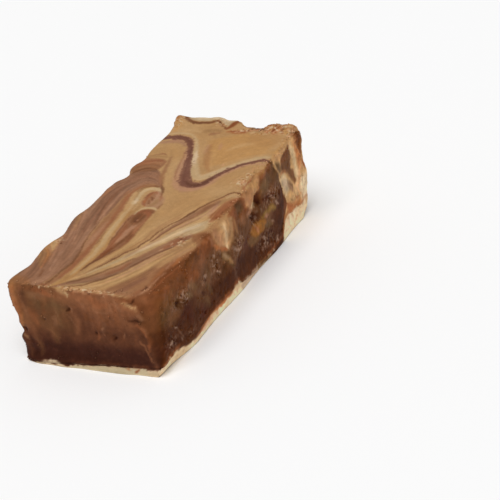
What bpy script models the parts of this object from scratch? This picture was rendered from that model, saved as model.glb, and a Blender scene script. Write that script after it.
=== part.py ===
"""A cut bar of marbled fudge, lying flat on the thin cream layer that it was poured over.

Two pieces, each one closed solid:
  cream_base     the thin pale layer under the whole bar, which turns up the tray wall at the far end
  marbled_fudge  the chocolate and caramel fudge that lies on it

Lengths are millimetres and become metres where a mesh is written. X runs along the bar from the cut
near end to the far end that stood against the tray, Y across it, Z up from the flat base.
"""

import itertools

import bmesh
import bpy
import numpy as np

MM = 0.001

# Driving dimensions.
LENGTH = 110.0  # the straight cut side
WIDTH = 48.0
NEAR_HEIGHT = 28.0
FAR_HEIGHT = 33.3  # the fudge was spread thicker towards the tray wall
GAP = 0.3  # between the two layers
LEAST_CREAM = 0.8
BASE_ROUND = 0.6  # rounding of the cream's lower edge
MIDDLE = (2.14, 1.2)  # X and Y of the middle of the whole bar, from the middle of its straight sides

NEAR = -LENGTH / 2
SIDE = WIDTH / 2

# Spacing of the grid that each solid is built on, and its closer lines beside an edge.
STEP_ALONG = 2.8
STEP_ACROSS = 3.1
STEP_UP = 2.3
EDGE_LINES = (0.0, 0.7, 1.7, 3.2)

# How the long sides stray outward from straight lines: (X, outward).
LEFT_STRAY = [
    (-55, 1.5), (-50, 1.2), (-45, 0.5), (-40, 1.1), (-34, 1.8), (-30.5, 1.2), (-26.5, 0.35), (-21, 0.8),
    (-14.5, 2.0), (-10, 0.95), (-3, 1.05), (7, 0.95), (10.5, 0.7), (13, -0.6), (16, -1.3), (19.5, -0.2),
    (22, -0.2), (26, -1.2), (32, -0.5), (38, -0.45), (46, -0.75), (50, 0.0), (54, 0.5), (58, 1.7),
]
RIGHT_STRAY = [(-55, -0.2), (-38, 0.3), (-20, -0.2), (0, 0.3), (14, -0.3), (30, 0.2), (42, -0.3), (57, 0.0)]
RIGHT_FOOT = 1.1  # how far the foot of the right side draws in at the near corner

# The far end's edge seen from above, (Y, X), and how it bulges and undercuts with height, (Z, X).
FAR_EDGE = [
    (-24, 54.0), (-22, 55.8), (-20, 56.0), (-17.5, 54.9), (-13.6, 54.9), (-12, 52.6), (-9.5, 52.0),
    (-6.4, 52.9), (-4, 54.6), (0, 57.4), (4, 58.8), (8, 60.2), (12, 59.6), (16, 59.2), (20, 58.5), (24, 58.4),
]
RAGGED_LOW = 0.3  # how much of the ragged edge shows low down
FAR_BULGE = [
    (0, -2.0), (2, 0.3), (4, 2.3), (8, 3.6), (13, 4.7), (17, 4.5), (20.5, 3.6), (24, 3.5), (27, 4.2),
    (30, 3.2), (33, 1.4),
]

# The top of the cream along each long side, (X, Z).
CREAM_RIGHT = [
    (-55, 3.3), (-50, 4.2), (-44, 4.2), (-37.6, 2.8), (-28, 3.6), (-20, 4.0), (-12, 3.6), (-4, 3.9),
    (0, 2.8), (8, 1.6), (16, 1.1), (31, 1.2),
]
CREAM_LEFT = [
    (-55, 1.0), (-46, 1.6), (-38, 2.9), (-30, 2.2), (-21, 3.6), (-12, 2.4), (-2, 1.5), (8, 2.6),
    (18, 3.8), (27, 2.4), (36, 2.0), (48, 3.0),
]
# The lump of cream in the tray's corner, under the far end of the right side, (X, Z above the layer).
CREAM_CORNER = [(31, 0.0), (33.5, 0.6), (36, 4.6), (39.5, 6.6), (44, 5.8), (50, 4.8)]
# Thickness of the cream wall at its top, (Y, thickness), and lower down on the right side, (Z, thickness).
WALL_TOP = [(-24, 1.1), (-6, 1.0), (0, 1.8), (3, 4.8), (7, 2.2), (11, 4.8), (15, 5.4), (20, 3.0), (24, 1.2)]
WALL_LOW = [(0, 5.0), (8, 5.0), (13, 4.4), (20, 2.6), (28, 1.2)]

# The torn corner at the near end of the right side: where the ridge that bounds it crosses the near
# face, (Z, Y), and how far back it reaches, (Z, depth).
TORN_RIDGE = [
    (0, -21.0), (5, -20.8), (12, -20.8), (15, -19.8), (17, -18.2), (20.5, -17.8), (23.2, -13.8),
    (27, -10.4), (30, -8.0),
]
TORN_DEPTH = [(0, 2.4), (12, 3.0), (20, 3.8), (28, 5.0)]

# The near face's outline on its left edge, (Z, outward), and how far its foot stands out, (Y, outward).
NEAR_LEFT_EDGE = [
    (0, 0.4), (1, 1.2), (5, 1.7), (8, 2.3), (9.9, 1.0), (12, 1.9), (16, 2.15), (18, 2.9), (20.5, 3.3),
    (24, 3.2), (28, 2.3),
]
NEAR_FOOT = [(-24, -0.4), (-16, 0.2), (-8, 0.8), (2, 1.1), (15, 1.4), (21, 1.0), (25, 0.2)]

# Hollows torn in the right side, (X, Z, half length, half height, depth), and lumps that stand out of it.
HOLLOWS = [
    (18.6, 23.2, 2.6, 2.1, 2.2), (15.4, 18.8, 2.8, 1.8, 1.6), (-40.8, 17.6, 1.6, 1.6, 0.9),
    (-16, 12.5, 5.0, 3.0, 0.5), (28, 12.0, 7.0, 4.0, 0.4), (3, 9.0, 6.0, 3.0, 0.4),
]
LUMPS = [
    (13.5, 25.5, 4.2, 2.8, 0.9), (-8, 24.5, 6.0, 4.0, 0.5), (0, 15.5, 5.0, 3.0, 0.5),
    (21, 14.5, 7.0, 2.6, 0.6), (-30, 22, 9.0, 4.0, 0.4), (44, 12, 5.0, 4.0, 0.5),
]
# Crumbly lumps along the rim of the top at the far end, (X, Y, radius, height).
RIM_LUMPS = [
    (54.5, -21, 2.4, 1.1), (54.0, -15.4, 2.2, 1.0), (52.5, -8.5, 2.4, 0.5), (56.0, 1.0, 2.6, 0.9),
    (57.5, 23, 4.0, 1.1), (57.5, 12, 3.0, 0.5), (20, -23, 5.0, 0.7), (13, 20.5, 6.0, -0.5),
]


def smooth(start, end, value):
    """0 before start, 1 after end, with a soft ramp between."""
    t = np.clip((value - start) / (end - start), 0, 1)
    return t * t * (3 - 2 * t)


def curve(points, at):
    """The value at each place of the smooth curve through (place, value) points, level beyond them."""
    places, values = np.array(points, float).T
    slopes = np.gradient(values, places)
    at = np.clip(at, places[0], places[-1])
    i = np.clip(np.searchsorted(places, at) - 1, 0, len(places) - 2)
    span = places[i + 1] - places[i]
    t = (at - places[i]) / span
    start = (1 + 2 * t) * (1 - t) ** 2 * values[i] + t * (1 - t) ** 2 * span * slopes[i]
    end = t * t * (3 - 2 * t) * values[i + 1] + t * t * (t - 1) * span * slopes[i + 1]
    return start + end


def noise(x, y, z, cell, seed):
    """Smooth random values from -1 to 1 that change over about one cell."""
    place = np.stack(np.broadcast_arrays(x, y, z), -1) / cell
    low = np.floor(place).astype(np.int64)
    t = place - low
    t = t * t * (3 - 2 * t)
    total = 0.0
    for corner in itertools.product((0, 1), repeat=3):
        key = (low + corner) @ np.array([73856093, 19349663, 83492791]) + seed * 2654435761
        key = ((key ^ (key >> 13)) * 1274126177) & 0xFFFFFFFF
        value = ((key ^ (key >> 16)) & 0xFFFF) / 32767.5 - 1
        total = total + value * np.prod(np.where(corner, t, 1 - t), -1)
    return total


def top(x, y):
    """Height of the bar's top."""
    height = NEAR_HEIGHT + (FAR_HEIGHT - NEAR_HEIGHT) * (x - NEAR) / LENGTH
    for lump_x, lump_y, radius, rise in RIM_LUMPS:
        height = height + rise * np.exp(-((x - lump_x) ** 2 + (y - lump_y) ** 2) / radius**2)
    return height + 0.25 * noise(x, y, 0, 9.0, 1)


def cream_top(x, y):
    """Height of the boundary between the cream and the fudge on it."""
    across = smooth(-SIDE, SIDE, y)
    height = (1 - across) * curve(CREAM_RIGHT, x) + across * curve(CREAM_LEFT, x)
    corner = curve(CREAM_CORNER, x) * (1 - 0.7 * smooth(-SIDE, 0, y))
    return np.maximum(height + corner + 0.25 * noise(x, y, 0, 6.0, 2), LEAST_CREAM)


def wall(y, z):
    """Thickness of the cream that stands at the far end."""
    low = curve(WALL_LOW, z) * (1 - 0.35 * smooth(-SIDE, SIDE, y))
    return np.maximum(low + (curve(WALL_TOP, y) - 1.1) * smooth(16, 30, z), 1.0)


def right_side(x, z):
    """Outward stray of the side at -Y."""
    stray = curve(RIGHT_STRAY, x) + 0.3 * noise(x, 0, z, 5.0, 3)
    stray = stray - RIGHT_FOOT * smooth(4.0, 0.5, z) * smooth(NEAR + 20, NEAR + 6, x)
    for lumps, sign in ((HOLLOWS, -1), (LUMPS, 1)):
        for at_x, at_z, half_length, half_height, depth in lumps:
            reach = ((x - at_x) / half_length) ** 2 + ((z - at_z) / half_height) ** 2
            stray = stray + sign * depth * np.exp(-reach)
    return stray


def left_side(x, z):
    """Outward stray of the side at +Y."""
    near = 1 - smooth(NEAR, NEAR + 12, x)
    stray = curve(LEFT_STRAY, x) * (0.3 + 0.7 * smooth(8, 24, z)) + 0.35 * noise(x, 9, z, 5.0, 4)
    return stray * (1 - near) + curve(NEAR_LEFT_EDGE, z) * near


def near_end(y, z, torn=1.0):
    """X of the near face. torn is how much of the corner is torn away, from 0 to 1."""
    ridge = curve(TORN_RIDGE, z)
    away = np.clip((ridge - y) / (ridge + SIDE), 0, 1)
    foot = curve(NEAR_FOOT, y) * smooth(4.5, 1.0, z)
    return NEAR - foot + torn * curve(TORN_DEPTH, z) * away + 0.2 * noise(0, y, z, 5.0, 5)


def far_end(y, z):
    """X of the outside of the far end."""
    bulge = curve(FAR_BULGE, z) * (1 - 0.95 * smooth(-SIDE, SIDE / 2, y))
    straight = FAR_EDGE[0][1] + (FAR_EDGE[-1][1] - FAR_EDGE[0][1]) * (y + SIDE) / WIDTH
    ragged = (curve(FAR_EDGE, y) - straight) * (RAGGED_LOW + (1 - RAGGED_LOW) * smooth(20, 31, z))
    return straight + ragged + bulge + 0.35 * noise(1, y, z, 4.0, 6)


def edge_radius(u, v, w):
    """Rounding of the bar's edges: the top's right shoulder is worn round at the near end."""
    shoulder = 2.0 + 1.8 * smooth(0.45, 0.0, v) * smooth(0.9, 0.4, u)
    upright = 1.3 + 1.3 * smooth(0.5, 1.0, v)
    return upright + (shoulder - upright) * smooth(0.65, 0.9, w)


def lines(length, step, start_edge, end_edge):
    """Places of grid lines from 0 to 1, closer beside the ends that have an edge."""
    first = [line for line in EDGE_LINES] if start_edge else [0.0]
    last = [length - line for line in EDGE_LINES] if end_edge else [length]
    inner = np.linspace(first[-1], last[-1], round((last[-1] - first[-1]) / step) + 1)
    return np.unique(np.round(np.concatenate([first, inner, last]), 6)) / length


ALONG = lines(LENGTH, STEP_ALONG, True, False)
ACROSS = lines(WIDTH, STEP_ACROSS, True, True)
UP = lines(NEAR_HEIGHT, STEP_UP, False, True)


def rounded(u, v, w):
    """The block coordinates with the near, side and top edges rounded, and the outward parts moved."""
    size = np.array([LENGTH, WIDTH, NEAR_HEIGHT])
    radius = edge_radius(u, v, w)
    inside = [u * size[0], np.minimum(v, 1 - v) * size[1], (1 - w) * size[2]]
    outward = np.stack([np.clip(1 - distance / radius, 0, 1) for distance in inside])
    length = np.maximum(np.linalg.norm(outward, axis=0), 1e-9)
    pulled = outward * (1 - 1 / np.maximum(length, 1)) * radius
    u = u + pulled[0] / size[0]
    v = v + np.where(v < 0.5, 1, -1) * pulled[1] / size[1]
    w = w - pulled[2] / size[2]
    return u, v, w


def block_point(u, v, w, inner, torn=1.0):
    """The place of a block coordinate. inner stops at the cream; otherwise it reaches the outside."""
    y = (v - 0.5) * WIDTH
    z = w * NEAR_HEIGHT
    floor = 0.0
    for _ in range(2):  # the faces bend one another, so a second pass settles them
        front = near_end(y, z, torn)
        back = far_end(y, z)
        if inner:
            back = back - wall(y, z)
        x = front + u * (back - front)
        right = right_side(x, z) * smooth(0.35, 0.0, v)
        left = left_side(x, z) * smooth(0.65, 1.0, v)
        y = (v - 0.5) * WIDTH - right + left
        if inner:
            floor = cream_top(x, y)
        z = floor + w * (top(x, y) - floor)
    return np.stack([x, y, z], -1)


def shell(counts):
    """The lattice points on the surface of a box of counts cells, and the quads that face out."""
    points, quads = {}, []
    for axis, end in itertools.product(range(3), (0, 1)):
        a, b = (axis + 1) % 3, (axis + 2) % 3
        for i, j in itertools.product(range(counts[a]), range(counts[b])):
            corners = []
            for di, dj in ((0, 0), (1, 0), (1, 1), (0, 1)):
                place = [0, 0, 0]
                place[axis] = end * counts[axis]
                place[a] = i + di
                place[b] = j + dj
                corners.append(points.setdefault(tuple(place), len(points)))
            quads.append(corners if end else corners[::-1])
    return np.array(list(points)), quads


def fudge_shape():
    """The fudge: its floor and far end keep clear of the cream."""
    lattice, quads = shell((len(ALONG) - 1, len(ACROSS) - 1, len(UP) - 1))
    i, j, k = lattice.T
    u, v, w = rounded(ALONG[i], ACROSS[j], UP[k])
    points = block_point(u, v, w, inner=True)
    slope = (cream_top(points[:, 0] + 1, points[:, 1]) - cream_top(points[:, 0] - 1, points[:, 1])) / 2
    clear_z = GAP * np.sqrt(1 + slope**2)
    points[:, 2] += clear_z * (1 - w)
    points[:, 0] -= GAP * u
    return points, quads


def cream_shape():
    """The cream: a slab whose inside follows the fudge's floor and then its far end."""
    floor_cells, wall_cells = len(ALONG) - 1, len(UP) - 1
    lattice, quads = shell((floor_cells + wall_cells, len(ACROSS) - 1, 2))
    i, j, k = lattice.T
    u = ALONG[np.minimum(i, floor_cells)]
    w = UP[np.maximum(i - floor_cells, 0)]
    v = ACROSS[j]
    torn = 0.35
    inner_u, inner_v, inner_w = rounded(u, v, w)
    on_floor = i <= floor_cells
    inner_torn = np.where(i == 0, torn, 1.0)
    inside = block_point(np.where(on_floor, u, inner_u), inner_v, inner_w, inner=True, torn=inner_torn)
    edge_u = np.where(on_floor, u, 1.0)
    outside = block_point(edge_u, inner_v, inner_w, inner=False, torn=torn)
    # The lower edge is rounded, by drawing the bottom in from the near face and the sides.
    at_bottom = k == 0
    inset_y = np.where(j == 0, 1, 0) - np.where(j == len(ACROSS) - 1, 1, 0)
    outside[:, 1] += BASE_ROUND * inset_y * at_bottom
    outside[:, 0] += BASE_ROUND * ((i == 0) & at_bottom)
    # The middle layer of points stands just above that rounding, or just inside the far face's edge.
    rim = (i == floor_cells + wall_cells) & at_bottom
    outside[:, 2] -= BASE_ROUND * rim
    middle = outside + (inside - outside) * 0.35
    middle[:, 0] = np.where(on_floor, inside[:, 0], middle[:, 0])
    points = np.where((k == 0)[:, None], outside, np.where((k == 1)[:, None], middle, inside))
    return points, quads, on_floor & at_bottom


def material(name, colour, roughness):
    surface = bpy.data.materials.new(name)
    surface.use_nodes = True
    shader = surface.node_tree.nodes["Principled BSDF"]
    shader.inputs["Base Color"].default_value = (*colour, 1)
    shader.inputs["Roughness"].default_value = roughness
    shader.inputs["Metallic"].default_value = 0
    return surface


def solid(name, points, quads, surface, flat=None):
    """A closed mesh object. The faces whose corners are all in flat become one."""
    mesh = bpy.data.meshes.new(name)
    places = (points - [*MIDDLE, 0]) * MM
    mesh.from_pydata(places.tolist(), [], quads)
    bm = bmesh.new()
    bm.from_mesh(mesh)
    if flat is not None:
        bm.verts.ensure_lookup_table()
        base = [face for face in bm.faces if all(flat[vert.index] for vert in face.verts)]
        bmesh.ops.dissolve_faces(bm, faces=base, use_verts=True)
    bmesh.ops.triangulate(bm, faces=bm.faces)
    bm.to_mesh(mesh)
    bm.free()
    mesh.materials.append(surface)
    mesh.shade_smooth()
    piece = bpy.data.objects.new(name, mesh)
    bpy.context.scene.collection.objects.link(piece)
    return piece


def main():
    for old in list(bpy.data.objects):
        bpy.data.objects.remove(old)
    cream_points, cream_quads, base = cream_shape()
    solid("cream_base", cream_points, cream_quads, material("cream", (0.62, 0.47, 0.30), 0.55), base)
    fudge_points, fudge_quads = fudge_shape()
    solid("marbled_fudge", fudge_points, fudge_quads, material("fudge", (0.22, 0.10, 0.045), 0.5))


main()
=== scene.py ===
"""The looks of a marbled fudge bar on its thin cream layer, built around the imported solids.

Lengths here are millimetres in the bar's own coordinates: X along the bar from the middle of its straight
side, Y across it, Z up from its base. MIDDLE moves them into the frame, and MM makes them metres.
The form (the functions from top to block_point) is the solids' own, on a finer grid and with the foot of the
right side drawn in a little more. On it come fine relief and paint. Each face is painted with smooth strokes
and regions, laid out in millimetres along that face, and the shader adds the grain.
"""

import itertools
import math

import bmesh
import bpy
import numpy as np
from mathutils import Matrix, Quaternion, Vector, geometry


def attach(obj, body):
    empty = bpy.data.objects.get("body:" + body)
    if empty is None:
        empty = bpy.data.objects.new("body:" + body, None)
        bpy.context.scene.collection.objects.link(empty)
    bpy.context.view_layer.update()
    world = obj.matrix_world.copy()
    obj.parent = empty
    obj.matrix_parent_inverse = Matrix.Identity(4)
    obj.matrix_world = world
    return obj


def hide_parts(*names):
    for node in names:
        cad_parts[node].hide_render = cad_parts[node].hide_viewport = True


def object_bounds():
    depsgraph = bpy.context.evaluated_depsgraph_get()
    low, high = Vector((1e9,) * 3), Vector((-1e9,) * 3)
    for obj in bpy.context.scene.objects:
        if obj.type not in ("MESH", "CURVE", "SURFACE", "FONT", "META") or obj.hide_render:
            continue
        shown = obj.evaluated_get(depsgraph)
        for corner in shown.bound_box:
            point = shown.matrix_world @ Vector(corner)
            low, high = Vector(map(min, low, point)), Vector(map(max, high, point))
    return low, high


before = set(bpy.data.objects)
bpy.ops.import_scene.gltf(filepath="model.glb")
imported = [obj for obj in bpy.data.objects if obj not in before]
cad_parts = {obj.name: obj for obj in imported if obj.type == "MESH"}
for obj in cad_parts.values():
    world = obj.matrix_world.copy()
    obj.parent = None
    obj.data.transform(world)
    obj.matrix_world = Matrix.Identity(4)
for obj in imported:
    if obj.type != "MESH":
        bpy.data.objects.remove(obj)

CAD_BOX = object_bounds()
MM = 0.001
MIDDLE = (2.14, 1.2)

# ---------------------------------------------------------------------------------------------------------
# Form: the named sizes and functions of the solids, with the right side's foot drawn in a little more.

LENGTH = 110.0  # the straight cut side
WIDTH = 48.0
NEAR_HEIGHT = 28.0
FAR_HEIGHT = 33.3
LEAST_CREAM = 0.8
NEAR = -LENGTH / 2
SIDE = WIDTH / 2
EDGE_LINES = (0.0, 0.25, 0.55, 0.9, 1.3, 1.75, 2.2, 2.7, 3.2)  # grid lines beside an edge, from the edge

# How the long sides stray outward from straight lines: (X, outward).
LEFT_STRAY = [
    (-55, 1.5), (-50, 1.2), (-45, 0.5), (-40, 1.1), (-34, 1.8), (-30.5, 1.2), (-26.5, 0.35), (-21, 0.8),
    (-14.5, 2.0), (-10, 0.95), (-3, 1.05), (7, 0.95), (10.5, 0.7), (13, -0.6), (16, -1.3), (19.5, -0.2),
    (22, -0.2), (26, -1.2), (32, -0.5), (38, -0.45), (46, -0.75), (50, 0.0), (54, 0.5), (58, 1.7),
]
RIGHT_STRAY = [(-55, -0.2), (-38, 0.3), (-20, -0.2), (0, 0.3), (14, -0.3), (30, 0.2), (42, -0.3), (57, 0.0)]
RIGHT_FOOT = 1.9  # how far the foot of the right side draws in at the near corner

# The far end's edge seen from above, (Y, X), and how it bulges and undercuts with height, (Z, X).
FAR_EDGE = [
    (-24, 54.0), (-22, 55.8), (-20, 56.0), (-17.5, 54.9), (-13.6, 54.9), (-12, 52.6), (-9.5, 52.0),
    (-6.4, 52.9), (-4, 54.6), (0, 57.4), (4, 58.8), (8, 60.2), (12, 59.6), (16, 59.2), (20, 58.5), (24, 58.4),
]
RAGGED_LOW = 0.3  # how much of the ragged edge shows low down
FAR_BULGE = [
    (0, -2.0), (2, 0.3), (4, 2.3), (8, 3.6), (13, 4.7), (17, 4.5), (20.5, 3.6), (24, 3.5), (27, 4.2),
    (30, 3.2), (33, 1.4),
]

# The top of the cream along each long side, and its rise in the far right corner: (X, Z).
CREAM_RIGHT = [
    (-55, 3.3), (-50, 4.2), (-44, 4.2), (-37.6, 2.8), (-28, 3.6), (-20, 4.0), (-12, 3.6), (-4, 3.9),
    (0, 2.8), (8, 1.6), (16, 1.1), (31, 1.2),
]
CREAM_LEFT = [
    (-55, 1.0), (-46, 1.6), (-38, 2.9), (-30, 2.2), (-21, 3.6), (-12, 2.4), (-2, 1.5), (8, 2.6),
    (18, 3.8), (27, 2.4), (36, 2.0), (48, 3.0),
]
CREAM_CORNER = [(31, 0.0), (33.5, 0.6), (36, 4.6), (39.5, 6.6), (44, 5.8), (50, 4.8)]

# Thickness of the cream that stands at the far end: at its top, (Y, thickness), and low, (Z, thickness).
WALL_TOP = [(-24, 1.1), (-6, 1.0), (0, 1.8), (3, 4.8), (7, 2.2), (11, 4.8), (15, 5.4), (20, 3.0), (24, 1.2)]
WALL_LOW = [(0, 5.0), (8, 5.0), (13, 4.4), (20, 2.6), (28, 1.2)]

# The corner torn from the near face: its ridge, (Z, Y), and its depth at the right side, (Z, depth).
TORN_RIDGE = [
    (0, -21.0), (5, -20.8), (12, -20.8), (15, -19.8), (17, -18.2), (20.5, -17.8), (23.2, -13.8),
    (27, -10.4), (30, -8.0),
]
TORN_DEPTH = [(0, 2.4), (12, 3.0), (20, 3.8), (28, 5.0)]

# The outward stray of the near face's left edge, (Z, outward), and of its foot, (Y, outward).
NEAR_LEFT_EDGE = [
    (0, 0.4), (1, 1.2), (5, 1.7), (8, 2.3), (9.9, 1.0), (12, 1.9), (16, 2.15), (18, 2.9), (20.5, 3.3),
    (24, 3.2), (28, 2.3),
]
NEAR_FOOT = [(-24, -0.4), (-16, 0.2), (-8, 0.8), (2, 1.1), (15, 1.4), (21, 1.0), (25, 0.2)]

# Hollows and lumps of the right side: (X, Z, half length, half height, depth).
HOLLOWS = [
    (18.6, 23.2, 2.6, 2.1, 2.2), (15.4, 18.8, 2.8, 1.8, 1.6), (-40.8, 17.6, 1.6, 1.6, 0.9),
    (-16, 12.5, 5.0, 3.0, 0.5), (28, 12.0, 7.0, 4.0, 0.4), (3, 9.0, 6.0, 3.0, 0.4),
]
LUMPS = [
    (13.5, 25.5, 4.2, 2.8, 0.9), (-8, 24.5, 6.0, 4.0, 0.5), (0, 15.5, 5.0, 3.0, 0.5),
    (21, 14.5, 7.0, 2.6, 0.6), (-30, 22, 9.0, 4.0, 0.4), (44, 12, 5.0, 4.0, 0.5),
]
RIM_LUMPS = [  # of the top: (X, Y, radius, rise)
    (54.5, -21, 2.4, 1.1), (54.0, -15.4, 2.2, 1.0), (52.5, -8.5, 2.4, 0.5), (56.0, 1.0, 2.6, 0.9),
    (57.5, 23, 4.0, 1.1), (57.5, 12, 3.0, 0.5), (20, -23, 5.0, 0.7), (13, 20.5, 6.0, -0.5),
]


def smooth(start, end, value):
    """0 before start, 1 after end, with a soft ramp between."""
    t = np.clip((value - start) / (end - start), 0, 1)
    return t * t * (3 - 2 * t)


def curve(points, at):
    """The value at each place of the smooth curve through (place, value) points, level beyond them."""
    places, values = np.array(points, float).T
    slopes = np.gradient(values, places)
    at = np.clip(at, places[0], places[-1])
    i = np.clip(np.searchsorted(places, at) - 1, 0, len(places) - 2)
    span = places[i + 1] - places[i]
    t = (at - places[i]) / span
    start = (1 + 2 * t) * (1 - t) ** 2 * values[i] + t * (1 - t) ** 2 * span * slopes[i]
    end = t * t * (3 - 2 * t) * values[i + 1] + t * t * (t - 1) * span * slopes[i + 1]
    return start + end


def noise(x, y, z, cell, seed):
    """Smooth random values from -1 to 1 that change over about one cell."""
    place = np.stack(np.broadcast_arrays(x, y, z), -1) / cell
    low = np.floor(place).astype(np.int64)
    t = place - low
    t = t * t * (3 - 2 * t)
    total = 0.0
    for corner in itertools.product((0, 1), repeat=3):
        key = (low + corner) @ np.array([73856093, 19349663, 83492791]) + seed * 2654435761
        key = ((key ^ (key >> 13)) * 1274126177) & 0xFFFFFFFF
        value = ((key ^ (key >> 16)) & 0xFFFF) / 32767.5 - 1
        total = total + value * np.prod(np.where(corner, t, 1 - t), -1)
    return total


def octaves(x, y, z, *parts):
    """A sum of noises, each part (strength, cell, seed)."""
    return sum(strength * noise(x, y, z, cell, seed) for strength, cell, seed in parts)


def bell(distance, width):
    """1 at no distance, fading to 0 over about two widths."""
    return np.exp(-((distance / width) ** 2))


def spot(a, b, at_a, at_b, half_a, half_b):
    """1 in the middle of a soft oval spot, fading to 0 round it."""
    return np.exp(-(((a - at_a) / half_a) ** 2) - ((b - at_b) / half_b) ** 2)


def top(x, y):
    """Height of the bar's top."""
    height = NEAR_HEIGHT + (FAR_HEIGHT - NEAR_HEIGHT) * (x - NEAR) / LENGTH
    for lump_x, lump_y, radius, rise in RIM_LUMPS:
        height = height + rise * spot(x, y, lump_x, lump_y, radius, radius)
    return height + 0.25 * noise(x, y, 0, 9.0, 1)


def cream_top(x, y):
    """Height of the boundary between the cream and the fudge on it."""
    across = smooth(-SIDE, SIDE, y)
    height = (1 - across) * curve(CREAM_RIGHT, x) + across * curve(CREAM_LEFT, x)
    corner = curve(CREAM_CORNER, x) * (1 - 0.7 * smooth(-SIDE, 0, y))
    return np.maximum(height + corner + 0.25 * noise(x, y, 0, 6.0, 2), LEAST_CREAM)


def wall(y, z):
    """Thickness of the cream that stands at the far end."""
    low = curve(WALL_LOW, z) * (1 - 0.35 * smooth(-SIDE, SIDE, y))
    return np.maximum(low + (curve(WALL_TOP, y) - 1.1) * smooth(16, 30, z), 1.0)


def right_side(x, z):
    """Outward stray of the side at -Y."""
    stray = curve(RIGHT_STRAY, x) + 0.3 * noise(x, 0, z, 5.0, 3) * smooth(-1.0, 6.0, z)
    stray = stray - RIGHT_FOOT * smooth(4.5, 0.5, z) * smooth(NEAR + 22, NEAR + 6, x)
    for lumps, sign in ((HOLLOWS, -1), (LUMPS, 1)):
        for *place, depth in lumps:
            stray = stray + sign * depth * spot(x, z, *place)
    return stray


def left_side(x, z):
    """Outward stray of the side at +Y."""
    near = 1 - smooth(NEAR, NEAR + 12, x)
    stray = curve(LEFT_STRAY, x) * (0.3 + 0.7 * smooth(8, 24, z)) + 0.35 * noise(x, 9, z, 5.0, 4)
    return stray * (1 - near) + curve(NEAR_LEFT_EDGE, z) * near


def near_end(y, z, torn=1.0):
    """X of the near face. torn is how much of the corner is torn away, from 0 to 1."""
    ridge = curve(TORN_RIDGE, z)
    away = np.clip((ridge - y) / (ridge + SIDE), 0, 1)
    foot = curve(NEAR_FOOT, y) * smooth(4.5, 1.0, z)
    return NEAR - foot + torn * curve(TORN_DEPTH, z) * away + 0.2 * noise(0, y, z, 5.0, 5)


def far_end(y, z):
    """X of the outside of the far end."""
    bulge = curve(FAR_BULGE, z) * (1 - 0.95 * smooth(-SIDE, SIDE / 2, y))
    straight = FAR_EDGE[0][1] + (FAR_EDGE[-1][1] - FAR_EDGE[0][1]) * (y + SIDE) / WIDTH
    ragged = (curve(FAR_EDGE, y) - straight) * (RAGGED_LOW + (1 - RAGGED_LOW) * smooth(20, 31, z))
    return straight + ragged + bulge + 0.35 * noise(1, y, z, 4.0, 6)


def edge_radius(u, v, w):
    """Rounding of the bar's edges: the top's right shoulder is worn round at the near end."""
    shoulder = 2.0 + 1.8 * smooth(0.45, 0.0, v) * smooth(0.9, 0.4, u)
    upright = 1.3 + 1.3 * smooth(0.5, 1.0, v)
    return upright + (shoulder - upright) * smooth(0.65, 0.9, w)


def rounded(u, v, w):
    """The block coordinates with the near, side and top edges rounded."""
    size = np.array([LENGTH, WIDTH, NEAR_HEIGHT])
    radius = edge_radius(u, v, w)
    inside = [u * size[0], np.minimum(v, 1 - v) * size[1], (1 - w) * size[2]]
    outward = np.stack([np.clip(1 - distance / radius, 0, 1) for distance in inside])
    length = np.maximum(np.linalg.norm(outward, axis=0), 1e-9)
    pulled = outward * (1 - 1 / np.maximum(length, 1)) * radius
    u = u + pulled[0] / size[0]
    v = v + np.where(v < 0.5, 1, -1) * pulled[1] / size[1]
    w = w - pulled[2] / size[2]
    return u, v, w


def block_point(u, v, w, inner, torn=1.0):
    """The place of a block coordinate. inner stops at the cream; otherwise it reaches the outside."""
    y = (v - 0.5) * WIDTH
    z = w * NEAR_HEIGHT
    floor = 0.0
    for _ in range(2):  # the faces bend one another, so a second pass settles them
        front = near_end(y, z, torn)
        back = far_end(y, z)
        if inner:
            back = back - wall(y, z)
        x = front + u * (back - front)
        right = right_side(x, z) * smooth(0.35, 0.0, v)
        left = left_side(x, z) * smooth(0.65, 1.0, v)
        y = (v - 0.5) * WIDTH - right + left
        if inner:
            floor = cream_top(x, y)
        z = floor + w * (top(x, y) - floor)
    return np.stack([x, y, z], -1)


def lines(length, step, start_edge, end_edge):
    """Places of grid lines from 0 to 1, closer beside the ends that have an edge."""
    first = list(EDGE_LINES) if start_edge else [0.0]
    last = [length - line for line in EDGE_LINES] if end_edge else [length]
    inner = np.linspace(first[-1], last[-1], round((last[-1] - first[-1]) / step) + 1)
    return np.unique(np.round(np.concatenate([first, inner, last]), 6)) / length


def shell(counts, left_open=()):
    """The lattice points on the surface of a box of counts cells, and the quads that face out."""
    number = -np.ones([count + 1 for count in counts], np.int64)
    rows, quads = [], []
    for axis, end in itertools.product(range(3), (0, 1)):
        if (axis, end) in left_open:
            continue
        a, b = (axis + 1) % 3, (axis + 2) % 3
        i, j = np.meshgrid(np.arange(counts[a]), np.arange(counts[b]), indexing="ij")
        corners = []
        for di, dj in ((0, 0), (1, 0), (1, 1), (0, 1)):
            place = np.zeros((*i.shape, 3), np.int64)
            place[..., axis] = end * counts[axis]
            place[..., a] = i + di
            place[..., b] = j + dj
            flat = place.reshape(-1, 3)
            found = number[tuple(flat.T)]
            new = np.unique(flat[found < 0], axis=0)
            number[tuple(new.T)] = np.arange(len(new)) + sum(len(row) for row in rows)
            rows.append(new)
            corners.append(number[tuple(flat.T)])
        face = np.stack(corners, -1)
        quads.append(face if end else face[:, ::-1])
    return np.concatenate(rows), np.concatenate(quads), number


# ---------------------------------------------------------------------------------------------------------
# Tones of the fudge, as 8-bit sRGB, as the eye sees them on the face that carries them.

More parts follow.
